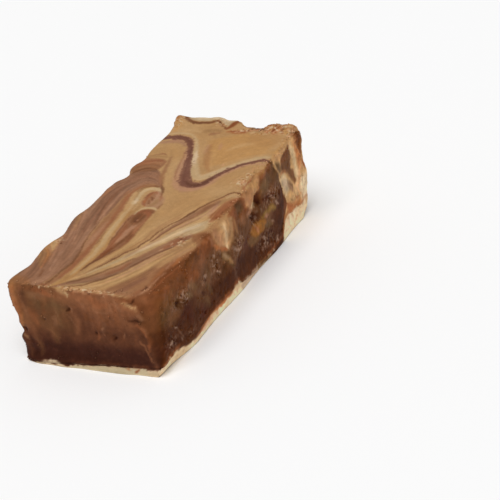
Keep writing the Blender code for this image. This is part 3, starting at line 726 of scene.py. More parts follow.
    ("rust deep", 0.8, 0.4, [(50.4, -16.2, 0.3), (52.4, -16.4, 0.6), (54.6, -16.4, 0.3)]),
    ("rust deep", 0.7, 0.4, [(51.2, -19.2, 0.2), (53, -19.4, 0.5), (55.4, -20, 0.2)]),
    ("tan light", 0.8, 0.5, [(53.4, -12.8, 0.3), (56, -12.6, 0.7), (58, -12.6, 0.4)]),
    ("cream", 0.7, 0.4, [(55, -17, 0.3), (57, -16.6, 0.6), (58, -16, 0.3)]),
    ("caramel", 0.8, 0.5, [(51.4, -15, 0.3), (53.4, -15.2, 0.6), (55.4, -15, 0.4)]),
    ("peach", 0.7, 0.4, [(50.8, -18.4, 0.2), (52.6, -18.4, 0.5), (54, -18.6, 0.2)]),
    # the worn right shoulder, where the side's red and brown climb onto the top
    ("side light", 0.8, 0.9, [
        (-60, -17.4), (-54, -17.8), (-49, -20.2), (-43, -19.2), (-36, -20.4), (-31, -23.2), (-26, -24.6),
        (-23, -21.6), (-20, -20.6), (-17, -24), (-12, -25.4), (-20, -30), (-60, -30),
    ]),
    ("side red", 0.9, 1.2, [
        (-60, -21), (-52, -21.6), (-44, -21.4), (-37, -22.6), (-31, -25.2), (-24, -26), (-20, -23),
        (-17, -26), (-20, -31), (-60, -31),
    ]),
    ("side light", 0.7, 0.8, [(-58, -20, 0.7), (-56.4, -22, 1.0), (-55.6, -25, 0.8)]),
    ("rust", 0.5, 0.5, [(-47, -20, 0.2), (-43, -20.8, 0.5), (-40, -20.2, 0.3)]),
    ("pink tan", 0.6, 0.4, [(-56, -19.4, 0.2), (-52, -20.8, 0.4), (-47, -21.4, 0.3), (-42, -22.2, 0.2)]),
    ("side rust", 0.7, 0.4, [(-55, -22.4, 0.2), (-50, -22.8, 0.4), (-44, -23.6, 0.4), (-38, -24.4, 0.2)]),
    ("pink tan", 0.5, 0.4, [(-40, -21.4, 0.2), (-36, -21.6, 0.4), (-33, -22.8, 0.2)]),
    # A small dark pit in the shoulder, painted as shade.
    ("hollow shade", 0.6, 0.35, [(-52.6, -19.8, 0.1), (-50.4, -20.2, 0.3), (-49.6, -19.6, 0.1)]),
    ("rust", 0.8, 0.6, [(-38, -22.6, 0.3), (-35, -22.8, 0.8), (-32, -21.4, 0.5)]),
    ("tan", 0.85, 1.0, [
        (-39, -18.4, 0.6), (-34.6, -19.8, 1.4), (-31, -21, 1.9), (-27.4, -22.2, 1.6), (-25, -23, 0.8),
    ]),
    ("pink tan", 0.4, 0.7, [(-34, -21, 0.4), (-30.6, -22.2, 0.8), (-27.6, -23.4, 0.5)]),
    ("cream", 0.9, 0.6, [(-21, -17, 0.8), (-17, -20.4, 1.6), (-13, -21.6, 1.2), (-9, -21.2, 0.4)]),
    ("tan", 0.8, 0.8, [(-18, -24), (-12, -22), (-8, -24), (-11, -29), (-17, -30)]),
    ("brown red", 0.85, 0.8, [
        (-11, -22.2, 0.6), (-7.6, -22.4, 1.3), (-3, -22.6, 1.8), (1.4, -23.4, 1.8), (4, -25, 1.4),
    ]),
    ("rust deep", 0.6, 0.6, [(-9.4, -22.6, 0.3), (-8.4, -23.4, 0.8), (-7.6, -24.4, 0.3)]),
    ("side rust", 0.7, 0.5, [(-9, -20.6, 0.2), (-6.6, -20.4, 0.6), (-4.6, -20.8, 0.2)]),
    ("side red", 0.6, 0.8, [(-6, -24, 0.5), (-2, -25.2, 1.2), (2, -26.4, 0.8)]),
    ("pink tan", 0.8, 0.5, [(-8, -19.6, 0.3), (-4, -19.8, 0.5), (0, -19.6, 0.3)]),
    ("cream", 0.7, 0.5, [(4.8, -20.6, 0.4), (6, -22.2, 0.8), (5.2, -24.2, 0.6)]),
    ("brown red", 0.7, 0.6, [(8.6, -24.8, 0.3), (12, -23.4, 0.6), (17, -24.4, 0.5), (24, -25.2, 0.4)]),
    ("side light", 0.7, 0.7, [(9, -27, 0.6), (15, -26.2, 1.0), (27, -27, 0.8)]),
    ("caramel", 0.6, 0.6, [(33, -24, 0.5), (39, -24.4, 0.9), (46, -24, 0.6)]),
    ("brown", 0.7, 0.6, [(47, -24.6, 0.3), (51, -23.8, 0.8), (55, -23, 0.6)]),
]
STREAKY = [  # where the marbling is drawn out into fine streaks: (outline, pale tone, dark tone, strength)
    ([(-60, -27), (-60, 27), (62, 27), (62, -27)], "tan light", "caramel", 0.14),
    (SWOOSH, "mauve light", "mauve dark", 0.7),
    (FAN, "tan light", "brown", 0.55),
    (TEARDROP, "brown red", "brown dark", 0.5),
    (PATCH, "brown", "brown dark", 0.6),
]
# The palest of these specks are painted sparkle, light glinting on the crumbs.
CRUMBLED_TOP = [  # specks of crumb along the top's edges: (X, Y, half length, half width)
    (-56, -6, 1.6, 7.5), (-55.4, 0, 1.0, 8), (-55.6, 12, 1.2, 2.5), (19, -22, 8, 1.6), (52, -12, 2.4, 7),
    (53, -19, 3, 4), (48, -23.4, 6, 1.2), (57, 5, 3, 4), (55, 22, 5, 2), (-30, 22, 3, 1.4),
    (-24, -18, 4, 2.4), (54, -17, 3, 4.5), (14.5, -20, 2.4, 2.4), (51, -4, 1.4, 4),
]
TOP_SHADE = 0.975
FRAY = 1.5  # how far the S-shaped band's edges fray


# The raster that carries the direction of the marbling.
FLOW_STEP = 1.0
FLOW_LOW = np.array([-62.0, -30.0])
FLOW_CELLS = (125, 60)
LEAST_GUIDE = 9.0  # length of the shortest stroke that leads the marbling


def marbling_flow():
    """The unit direction of the marbling on a raster over the top, led by the strokes that run past."""
    places, turns = [], []
    for _, _, _, points in TOP_STROKES:
        line = spline(points, 4)[:, :2]
        run = np.diff(line, axis=0)
        if len(points[0]) == 3 and np.hypot(*run.T).sum() > LEAST_GUIDE:
            angle = 2 * np.arctan2(run[:, 1], run[:, 0])  # doubled, so that both ways along a line agree
            places.append(line[:-1] + run / 2)
            turns.append(np.column_stack([np.cos(angle), np.sin(angle)]))
    places, turns = np.vstack(places), np.vstack(turns)
    cells = np.stack(np.meshgrid(*(np.arange(count) for count in FLOW_CELLS), indexing="ij"), -1)
    raster = FLOW_LOW + FLOW_STEP * cells.reshape(-1, 2)
    away = ((raster[:, None] - places[None]) ** 2).sum(-1)
    mean = (1 / (away + 1.5) ** 2) @ turns
    angle = np.arctan2(mean[:, 1], mean[:, 0]) / 2
    return np.column_stack([np.cos(angle), np.sin(angle)]).reshape(*FLOW_CELLS, 2)


def drawn_out(x, y, flow, cell, length, seed):
    """Noise smeared by length each way along the marbling, with a spread of 1."""
    total = noise(x, y, 0, cell, seed)
    step = 0.7 * cell
    for way in (-1, 1):
        place = np.column_stack([x, y])
        heading = None
        for _ in range(round(length / step)):
            nearest = np.round((place - FLOW_LOW) / FLOW_STEP).astype(int)
            i, j = np.clip(nearest, 0, np.array(FLOW_CELLS) - 1).T
            turn = flow[i, j]
            if heading is None:
                heading = turn * way
            heading = turn * np.where((turn * heading).sum(1) < 0, -1, 1)[:, None]
            place = place + heading * step
            total = total + noise(place[:, 0], place[:, 1], 0, cell, seed)
    return total / total.std()


def paint_top(x, y):
    ripple = 0.17 * noise(x, y, 4, 0.5, 19)
    wander_x = x + octaves(x, y, 0, (0.3, 3.0, 20), (0.16, 0.9, 21)) + ripple
    wander_y = y + octaves(x, y, 5, (0.3, 3.0, 22), (0.16, 0.9, 23)) - ripple
    colour = plain("tan", len(x))
    colour *= 1 + 0.04 * noise(x, y, 0, 8.0, 24)[:, None] * [0.6, 1.0, 1.6]
    paint(colour, wander_x, wander_y, TOP_STROKES)
    draw_streaks(colour, x, y)
    colour *= TOP_SHADE * (1 + octaves(x, y, 0, (0.022, 0.5, 27), (0.02, 1.4, 28)))[:, None]
    band = spline(BAND)
    fray = np.zeros(len(x))
    at = near_to(x, y, band, 4)
    fray[at] = line_mask(x[at], y[at], band, FRAY)
    fray = 4 * fray * (1 - fray)
    specks(colour, x, y, 3, fray, 0.9, 72, "cocoa", 1.0)
    specks(colour, x, y, 6, fray, 0.8, 73, "mauve light", 0.9)
    for place in CRUMBLED_TOP:
        inside = spot(x, y, *place)
        specks(colour, x, y, 0, inside, 0.8, 29, "brown red", 0.6)
        specks(colour, x, y, 9, inside, 0.7, 30, "peach", 0.9)
        # Painted sparkle: light glinting on the crumbs.
        specks(colour, x, y, 12, inside, 0.8, 76, "vanilla", 0.7)
    return colour


def draw_streaks(colour, x, y):
    """Fine and broad streaks along the marbling, strongest where STREAKY says."""
    flow = marbling_flow()
    fine = drawn_out(x, y, flow, 0.55, 4.5, 25)
    broad = drawn_out(x, y, flow, 1.5, 12.0, 26)
    streak = np.zeros(len(x))
    for outline, pale, dark, strength in STREAKY:
        mask = strength * region_mask(x, y, np.array(outline, float), 1.0)
        mix(colour, pale, 0.55 * mask * smooth(0.2, 1.6, broad))
        mix(colour, dark, 0.55 * mask * smooth(0.2, 1.6, -broad))
        streak = np.maximum(streak, mask)
    streak *= smooth(-25, -20, y)
    colour *= (1 + streak * (0.065 * np.clip(fine, -2, 2) + 0.03 * np.clip(broad, -2, 2)))[:, None]


# ---------------------------------------------------------------------------------------------------------
# The upright faces. a runs along the face, b is the height above the base.

DARK_TOP = [  # how high the dark chocolate reaches on the right side, along X
    (-58, 14.5), (-50, 14), (-46, 13), (-41, 14.5), (-37, 16), (-34, 15.5), (-30, 12.5), (-20, 11), (-15, 12),
    (-8, 12), (-3, 11), (3, 13), (8, 12), (12, 10), (20, 10.5), (26, 11), (30, 14), (36, 20),
]
# In these strokes the blackish marks in hollows and pits are painted shade, and the small greyish marks on
# crumbs are painted glints.
SIDE_STROKES = [
    # the near part: red-brown above dark chocolate
    ("side light", 0.8, 1.2, [(-57, 34, 1.2), (-56.4, 28, 1.5), (-56.8, 24, 1.0)]),
    ("side light", 0.4, 1.4, [(-53, 31, 0.8), (-49, 28.6, 1.6), (-45, 27, 1.0)]),
    ("side light", 0.3, 1.4, [(-48, 30, 0.8), (-42, 28, 1.2), (-37, 27, 0.8)]),
    ("side red", 0.7, 1.4, [(-38, 24, 1.0), (-32, 22, 1.8), (-27, 20, 1.2)]),
    ("side brown", 0.6, 1.8, [(-34, 28, 1.0), (-29, 26, 2.2), (-24, 25, 1.2)]),
    ("olive dark", 0.5, 1.5, [(-56, 18.6, 1.2), (-51, 18, 2.0), (-46, 19.6, 1.2)]),
    ("plum", 0.45, 1.6, [(-56, 12, 1.2), (-54, 9, 2.0), (-50, 8, 1.4)]),
    ("hollow shade", 0.5, 0.7, [(-54, 14.4, 0.2), (-52.8, 14.2, 0.5), (-51.6, 13.8, 0.2)]),
    ("side olive", 0.4, 1.4, [(-50, 22.6, 1.0), (-46, 22, 1.6), (-42, 23, 1.0)]),
    ("side mauve", 0.3, 1.0, [(-54, 24, 0.5), (-50, 25, 0.8), (-47, 24.4, 0.4)]),
    ("side brown", 0.5, 1.2, [(-44, 26.4, 0.6), (-39, 25, 1.2), (-35, 23.4, 0.6)]),
    ("side mauve", 0.5, 0.8, [(-45.4, 18.8, 0.4), (-43.4, 17.4, 0.8), (-41.6, 16.2, 0.4)]),
    ("hollow shade", 0.85, 0.35, [(-42.4, 18.6, 0.15), (-41, 17.8, 0.5), (-39.6, 17.6, 0.2)]),
    ("side olive", 0.6, 0.8, [(-44.6, 19.6, 0.4), (-42, 19, 1.0), (-40.6, 20, 0.4)]),
    ("side light", 0.45, 1.0, [(-39, 20.6, 0.6), (-37, 20, 1.2), (-35.4, 18.8, 0.7)]),
    ("side olive", 0.7, 0.9, [(-36.4, 18.2, 0.6), (-34.4, 16.8, 1.2), (-32.6, 15.4, 0.7)]),
    ("side olive", 0.6, 1.0, [(-33, 20, 0.6), (-31, 18.4, 1.3), (-29.4, 16.8, 0.7)]),
    ("side light", 0.6, 0.4, [(-33, 21.4, 0.1), (-31.2, 20.8, 0.4), (-30.4, 20.4, 0.1)]),
    ("side mauve", 0.5, 0.4, [(-45, 12.6, 0.2), (-43, 10, 0.35), (-42, 7.6, 0.4), (-40.4, 5.4, 0.2)]),
    ("glint", 0.7, 0.3, [(-44.6, 12, 0.1), (-43.8, 11.4, 0.3), (-43.4, 11, 0.1)]),
    ("glint", 0.6, 0.35, [(-42.8, 6.9, 0.1), (-42.2, 6.3, 0.4), (-41.8, 5.9, 0.1)]),
    ("side mauve", 0.5, 0.6, [(-50, 9.2, 0.3), (-48.4, 8.4, 0.8), (-47.4, 7, 0.4)]),
    ("side mauve", 0.55, 0.5, [(-36.4, 4.2, 0.3), (-34.8, 3.4, 0.7), (-33.6, 2.8, 0.3)]),
    ("hollow shade", 0.6, 0.4, [(-27.2, 13.6, 0.15), (-25.8, 12.8, 0.4), (-24, 11.9, 0.15)]),
    ("side mauve", 0.5, 0.7, [(-28.4, 15, 0.3), (-26.8, 13.6, 0.5)]),
    ("side olive", 0.6, 1.0, [(-22.6, 13.4, 0.6), (-20.6, 11.6, 1.1), (-19.4, 10, 0.5)]),
    ("side olive", 0.5, 1.0, [(-24.4, 10, 0.6), (-23, 8.4, 1.2), (-22.4, 6.6, 0.6)]),
    ("plum", 0.7, 1.4, [(-28, 9, 1.0), (-27, 6, 1.8), (-22, 4.6, 1.2)]),
    ("plum", 0.6, 1.4, [(-40, 12.6, 1.0), (-36.6, 12.4, 2.2), (-35.4, 9, 1.2)]),
    ("side light", 0.6, 0.8, [(-23, 28, 0.5), (-20, 27.8, 1.3), (-18.4, 26.8, 0.6)]),
    ("hollow shade", 0.4, 0.4, [(-23, 28.8, 0.1), (-21, 28.2, 0.3), (-20, 28, 0.1)]),
    ("side light", 0.3, 1.4, [(-27, 23.6, 0.8), (-24, 22.6, 1.6), (-21, 21.6, 0.8)]),
    ("olive dark", 0.5, 1.0, [(-21, 18.4, 0.5), (-19.6, 16.6, 1.2), (-19.4, 15, 0.6)]),
    # tan that ran down from the top, with its orange edge and pale tail
    ("side tan", 0.95, 1.2, [
        (-18, 34), (-16, 30.6), (-14.6, 27), (-13.4, 23.8), (-10.4, 20.8), (-6.6, 18), (-4.6, 18.2),
        (-2.6, 20), (-1.4, 23), (-0.6, 26), (-1.4, 28.6), (-4, 30.4), (-6, 34),
    ]),
    ("side pink", 0.6, 1.2, [(-13.8, 30, 0.8), (-12.6, 27, 1.3), (-11, 24, 0.9), (-9.8, 21.6, 0.5)]),
    ("tan", 0.45, 1.6, [(-9, 29, 0.8), (-7.6, 26.4, 1.8), (-6.4, 23.6, 1.0)]),
    ("cream", 0.6, 1.3, [(-9, 29.6, 0.8), (-7.2, 26.6, 1.4), (-6.4, 23, 1.3), (-6.6, 19.8, 0.6)]),
    ("cream pale", 0.4, 0.8, [(-7.4, 26.4, 0.4), (-6.6, 23.4, 0.9), (-6.8, 20.6, 0.5)]),
    ("olive", 0.35, 1.4, [(-4, 29, 0.8), (-4.6, 26.6, 1.4), (-5.6, 22.4, 0.8)]),
    ("olive", 0.65, 1.7, [(-2.4, 27.4, 1.0), (-3.2, 24, 1.5), (-3, 21.4, 1.2), (-2, 19, 0.7)]),
    ("side rust", 0.75, 1.0, [
        (-13, 34), (-12.4, 31), (-9.8, 29.2), (-6, 28.8), (-2.4, 28), (0.8, 26.4), (3.6, 27.4), (8, 30),
        (8, 34),
    ]),
    ("side red", 0.6, 0.7, [(-11.6, 31.6, 0.4), (-9.8, 30.6, 1.0), (-8.8, 29.8, 0.4)]),
    ("side light", 0.5, 0.6, [(-6, 30.6, 0.4), (-3.4, 29.8, 0.8), (-0.6, 28.6, 0.4)]),
    ("olive", 0.55, 0.9, [(-0.4, 26, 0.5), (0.6, 22.6, 0.9), (0.8, 18.6, 0.5)]),
    ("side pink", 0.55, 0.8, [(-16.6, 28, 0.4), (-14.8, 24.6, 0.8), (-13.4, 22.4, 0.4)]),
    ("rust", 0.8, 0.6, [(-14.4, 23.4, 0.3), (-12.6, 21.8, 0.8), (-10, 19.4, 0.7), (-7, 17.9, 0.4)]),
    ("side rust", 0.85, 0.4, [(-9.8, 19.2, 0.3), (-8, 18.7, 0.6), (-6.6, 18.2, 0.2)]),
    ("side cream", 0.85, 0.3, [(-7.4, 19.7, 0.15), (-6.4, 19.1, 0.5), (-5.8, 18.4, 0.15)]),
    ("side olive", 0.9, 0.8, [
        (-12, 19, 0.3), (-10, 17.4, 1.0), (-7.4, 15.8, 1.3), (-6, 13.6, 1.0), (-4.8, 11.6, 0.6),
    ]),
    ("olive", 0.7, 0.6, [(-9.8, 17.8, 0.3), (-7.6, 15.8, 0.9), (-6, 14, 0.7), (-5, 12.4, 0.2)]),
    ("grey cream", 0.4, 0.6, [(-9, 17.4, 0.2), (-7.6, 16.2, 0.6), (-6.4, 15, 0.2)]),
    ("side mauve", 0.35, 0.8, [(-4.6, 11, 0.4), (-3.6, 7.6, 0.9), (-2.8, 4.6, 0.4)]),
    # the middle: red and olive browns, then the overhang with its hollows
    ("side red", 0.8, 1.2, [(-1, 33), (0, 28.6), (2.4, 24), (6, 23.4), (10, 24.6), (11, 33)]),
    ("side light", 0.7, 1.2, [(-3, 31.4, 0.8), (0, 30, 1.3), (4, 30.6, 0.8)]),
    ("side brown", 0.9, 1.4, [(2.6, 28.6), (5, 29.6), (8, 28.4), (8.6, 26), (6, 24.2), (2.8, 25)]),
    ("olive dark", 0.7, 1.0, [(4, 27.6, 0.8), (5.6, 26.4, 1.4), (7, 25.6, 0.6)]),
    ("side light", 0.7, 0.9, [(9, 30.6, 0.8), (10, 28, 1.3), (9.4, 25.4, 0.7)]),
    ("side brown", 0.7, 1.4, [(1.6, 23), (6, 23.8), (12, 22), (13, 17), (9, 16), (5, 17)]),
    ("side pink", 0.35, 1.0, [(3, 23, 0.6), (6, 21.8, 1.2), (8, 20.6, 0.6)]),
    ("plum", 0.6, 1.4, [(4, 13.4, 1.0), (8, 13, 1.8), (10, 12, 1.0)]),
    ("side tan", 0.95, 0.7, [
        (9.8, 25), (10.4, 29), (13, 31.6), (20, 32), (22.6, 30), (21, 26.4), (17.6, 25), (16.8, 21.4),
        (14.6, 21.6), (12, 22.6),
    ]),
    ("side light", 0.35, 1.2, [(10.6, 29, 0.8), (13.4, 28, 1.8), (15, 25.4, 1.0)]),
    ("caramel", 0.5, 0.9, [(16, 29.8, 0.6), (18.4, 28.6, 1.4), (20.4, 27, 0.6)]),
    ("side pink", 0.6, 0.9, [(10.6, 27.4, 0.6), (12, 25.4, 1.0), (12, 23.6, 0.5)]),
    ("side cream", 0.9, 0.6, [(13.4, 23, 0.6), (15, 23.6, 1.3), (16.8, 23.2, 1.3), (17.6, 21.8, 0.6)]),
    ("side pink", 0.8, 0.45, [(9.6, 21.6, 0.3), (11.6, 21.9, 0.6), (13.8, 21.5, 0.3)]),
    ("side light", 0.6, 0.7, [(21, 25.8, 0.3), (19.8, 27, 0.6), (22.6, 28.4, 0.4)]),
    ("side pink", 0.4, 0.9, [(12, 21.4, 0.6), (14.4, 20.8, 1.0), (16.6, 20.2, 0.5)]),
    # The next three strokes are painted shade in the overhang's two hollows.
    ("plum", 0.7, 0.9, [(13.8, 19.4), (17, 19.2), (18.4, 18.2), (17.4, 17.2), (15, 17.4), (13.6, 18.2)]),
    ("hollow shade", 0.45, 0.7, [(14, 19.2), (16.2, 19), (16.8, 18), (15.4, 17.8)]),
    ("hollow shade", 0.8, 0.6, [(18.6, 24.6), (20.4, 24.4), (21, 22.8), (20.8, 21), (19.8, 20.8), (19, 22)]),
    ("glint", 0.7, 0.3, [(20.2, 19.9, 0.1), (20.6, 19.2, 0.4), (20.4, 18.4, 0.2)]),
    # grey, crumbly patches, with painted glints on their crumbs
    ("side brown", 0.7, 1.2, [(-18, 21), (-14, 22), (-10.6, 19), (-11, 14.6), (-15, 13), (-19, 16)]),
    ("glint", 0.6, 0.25, [(-15.8, 20.6, 0.1), (-15, 20.1, 0.4), (-14.8, 19.2, 0.2)]),
    ("glint", 0.6, 0.25, [(-16.6, 17.4, 0.1), (-15.2, 16.8, 0.35), (-14.6, 16.4, 0.1)]),
    ("glint", 0.7, 0.25, [(-15.2, 14.9, 0.15), (-13.8, 13.9, 0.35), (-12.2, 12.9, 0.15)]),
    ("glint", 0.5, 0.3, [(-22.8, 17, 0.1), (-21.4, 16.4, 0.5), (-20.8, 15.8, 0.1)]),
    ("side brown", 0.8, 1.4, [
        (-5, 17.4), (-2, 18.4), (2, 20), (5, 18.8), (4.6, 14), (2, 12.6), (-2, 12.8), (-4.8, 14.4),
    ]),
    ("side mauve", 0.5, 1.0, [(-3, 16, 0.6), (0, 16, 1.2), (2.4, 16.6, 0.6)]),
    ("glint", 0.6, 0.3, [(-3.6, 16.4, 0.1), (-2.2, 15.4, 0.4), (-0.4, 14.2, 0.5), (0.4, 13.6, 0.2)]),
    ("glint", 0.6, 0.3, [(0.8, 14.4, 0.2), (2, 14, 0.45), (3.2, 13.8, 0.2)]),
    ("glint", 0.6, 0.5, [(2.2, 17.9, 0.4), (3.2, 17.4, 0.8), (4.2, 16.6, 0.4)]),
    ("plum", 0.7, 0.5, [(0, 17.6, 0.2), (1, 16.2, 0.5), (2, 15.4, 0.2)]),
    # amber and gold low in the middle
    ("side olive", 0.8, 1.0, [(8.4, 12.8, 0.6), (11.6, 11.4, 1.6), (15, 10.6, 1.3)]),
    ("amber", 0.85, 0.7, [
        (11.6, 14.6), (13.6, 16), (17.4, 16.2), (20.6, 15.4), (22.4, 13.2), (21.4, 11.4), (17, 11.4),
        (13.4, 11.8),
    ]),
    ("side rust", 0.6, 0.6, [(13.6, 15, 0.3), (15.4, 14.6, 0.7), (16.4, 13.2, 0.5)]),
    ("side pink", 0.6, 0.5, [(15, 15, 0.2), (16, 13.6, 0.6), (17, 12.4, 0.3)]),
    ("side olive", 0.5, 0.5, [(17.6, 15.6, 0.2), (18.8, 14, 0.5), (19.2, 12.4, 0.2)]),
    ("gold", 0.85, 0.7, [(19.6, 16.4, 0.4), (23.4, 16.4, 0.9), (27.4, 16, 1.0), (30.6, 14.6, 0.5)]),
    ("side pink", 0.8, 0.45, [(21, 15.6, 0.3), (22.8, 15.4, 0.7), (24.8, 14.9, 0.3)]),
    ("side olive", 0.85, 0.9, [(21, 12.6, 0.6), (24, 11.8, 1.4), (27.4, 10.6, 0.6)]),
    ("glint", 0.5, 0.25, [(26.6, 12, 0.1), (28, 11, 0.3), (29, 10.4, 0.1)]),
    # the dark end of the swirl that runs down the side
    ("side brown", 0.9, 1.4, [
        (20.6, 24.6), (22.6, 28), (31, 29.4), (34.4, 26), (34.8, 22.4), (28, 22.4), (22, 22.6),
    ]),
    ("caramel", 0.75, 1.0, [(20, 31.8, 0.8), (25, 31.4, 1.3), (30, 31.8, 1.1), (34, 31.6, 0.8)]),
    ("side light", 0.6, 0.7, [(21.4, 30, 0.3), (25, 29.6, 0.5), (30, 30, 0.5), (33, 30.2, 0.3)]),
    ("side olive", 0.8, 1.4, [(21.6, 24), (22.4, 27), (26, 28), (28.4, 26), (27.6, 23.4)]),
    ("olive dark", 0.6, 1.2, [(25, 25, 0.8), (29, 26, 1.6), (32, 24.6, 0.8)]),
    ("side brown", 0.8, 1.1, [
        (20.6, 22), (27, 23), (33, 23), (35.6, 22.4), (36.6, 19.4), (32, 16.4), (26, 17.4), (20.8, 18),
    ]),
    ("plum", 0.6, 1.0, [(22, 21.4, 0.6), (26, 20.6, 1.3), (30, 20, 0.6)]),
    ("side dark", 0.9, 0.8, [
        (24.6, 0), (25.4, 7), (28, 10.4), (31.4, 12.8), (33.4, 15.4), (34.4, 18.4), (36.9, 21.2),
        (38.4, 17), (39.6, 13), (39, 10.4), (36, 7.4), (34, 5), (33, 1),
    ]),
    ("olive dark", 0.7, 0.9, [(30.4, 32.6, 0.7), (32.4, 29.4, 1.2), (34, 25.6, 1.2), (35.6, 22, 0.9)]),
    ("side red", 0.7, 0.5, [(38.4, 17.6, 0.2), (38.6, 13, 0.7), (37.6, 10.6, 0.7), (36, 8.4, 0.3)]),
    ("glint", 0.5, 0.25, [(26.2, 22.8, 0.1), (27.2, 22.3, 0.4), (28, 21.9, 0.1)]),
    ("glint", 0.6, 0.25, [(31.4, 21.6, 0.2), (32.4, 21.2, 0.4), (33, 20.4, 0.2)]),
    ("glint", 0.6, 0.25, [(29.6, 19, 0.1), (30.6, 18.7, 0.35), (31.4, 18.2, 0.1)]),
    ("glint", 0.65, 0.4, [(31, 16.8, 0.3), (32.2, 16, 0.7), (33, 14.8, 0.3)]),
    ("side mauve", 0.6, 0.5, [(17.6, 10.4, 0.3), (20, 9, 0.6), (23, 8, 0.5), (25, 6.4, 0.2)]),
    ("side mauve", 0.5, 0.5, [(18, 6, 0.2), (21, 4.8, 0.5), (24, 4.2, 0.3)]),
    ("glint", 0.5, 0.3, [(27, 3.7, 0.2), (28.4, 3.2, 0.5), (29.8, 2.8, 0.2)]),
    # beyond it: tan, cream and brown marbling down to the cream corner
    ("tan", 0.97, 0.45, [
        (31, 35), (33.5, 29), (35.6, 25), (37, 21), (38.5, 17), (39.7, 13), (39.2, 10.4), (36.2, 7.4),
        (34.4, 4.6), (33.4, 1), (34, -2), (62, -2), (62, 38), (31, 38),
    ]),
    ("side tan", 0.7, 1.0, [(36, 31, 0.8), (38.6, 30, 1.2), (42, 31.6, 1.0), (47, 32, 0.8)]),
    ("side olive", 0.85, 0.9, [(35.4, 29, 0.5), (37, 27, 1.5), (38.6, 24.8, 0.9)]),
    ("olive dark", 0.5, 0.7, [(36, 28, 0.4), (37, 26.4, 0.9), (38, 25, 0.4)]),
    ("side brown", 0.95, 1.0, [
        (39.4, 28.6), (42, 29.6), (46.6, 30), (48, 28.2), (47.6, 24), (46, 22.4), (43, 22.6), (39.4, 24.4),
    ]),
    ("side red", 0.6, 0.8, [(40.6, 27.6, 0.8), (43.4, 28, 1.4), (46.4, 29.4, 0.8)]),
    ("side rust", 0.6, 0.5, [(38.6, 23.8, 0.3), (41, 23.2, 0.5), (43.4, 22, 0.3)]),
    ("side brown", 0.9, 0.8, [(43.6, 23.6, 1.0), (45.6, 21.6, 1.5), (47.2, 19, 1.5), (48, 16.6, 1.0)]),
    ("side cream", 0.95, 0.8, [
        (37.2, 22), (40, 23), (42.4, 21), (44, 18), (43.4, 15.6), (42, 14.4), (40.4, 14), (38.8, 17.6),
    ]),
    ("grey cream", 0.6, 0.9, [(39.2, 20.4, 0.5), (40.6, 18.8, 1.3), (41.6, 16.6, 0.9)]),
    ("side mauve", 0.65, 0.8, [(43, 18.6, 0.5), (44.2, 16.4, 1.3), (45.2, 14.4, 0.8)]),
    ("olive dark", 0.5, 0.5, [(44.4, 17.4, 0.2), (45.4, 16, 0.5), (45.2, 14.8, 0.2)]),
    ("side cream", 0.9, 0.8, [
        (48.8, 30, 0.4), (49.8, 26.6, 1.2), (50.8, 22.6, 1.3), (50.6, 18.6, 1.2), (50, 15.4, 0.6),
    ]),
    ("rust", 0.8, 1.2, [(51.8, 30, 0.5), (53, 26.6, 1.3), (54, 23, 1.4), (53.6, 19.4, 0.8)]),
    ("side red", 0.95, 0.8, [
        (51.6, 35, 0.9), (53.6, 32, 1.8), (55.2, 29, 1.6), (55.8, 25.8, 0.9), (56.2, 23, 0.6),
    ]),
    ("rust deep", 0.8, 0.6, [(55.4, 21.4, 0.3), (56.6, 19.6, 0.8), (57.4, 17.6, 0.4)]),
    ("side dark", 0.5, 0.8, [(53, 33, 0.5), (54.8, 30.6, 1.0), (56, 28, 0.6)]),
    ("vanilla", 0.85, 1.8, [(52.6, 15), (55, 15.6), (60, 14), (60, 2), (51, 2), (52, 9)]),
    ("tan light", 0.8, 1.4, [(49.6, 15.6, 0.8), (48.4, 12.6, 1.6), (46.6, 10.4, 1.2), (50.4, 10.6, 1.0)]),
    ("peach", 0.6, 1.0, [(54.4, 20, 0.5), (52, 16.6, 1.0), (49.6, 13.6, 0.8), (52, 9.6, 0.6)]),
    ("rust", 0.75, 1.4, [(40.6, 8.8, 0.8), (44, 8.2, 1.7), (48, 7.6, 1.4), (52, 6.6, 0.6)]),
    ("side rust", 0.8, 0.8, [(39.4, 11.2, 0.5), (41.4, 9.8, 1.1), (43.6, 8.6, 0.5)]),
    ("side olive", 0.6, 0.4, [(42.4, 11.8, 0.1), (43.8, 11.2, 0.4), (45, 10.8, 0.1)]),
    ("side rust", 0.6, 0.5, [(46.6, 11.2, 0.2), (48.2, 10, 0.5), (50, 9.4, 0.2)]),
    ("rust", 0.6, 0.7, [(37.4, 8.6, 0.4), (36, 6.2, 0.7), (34.8, 3, 0.5), (34.4, 0, 0.4)]),
]
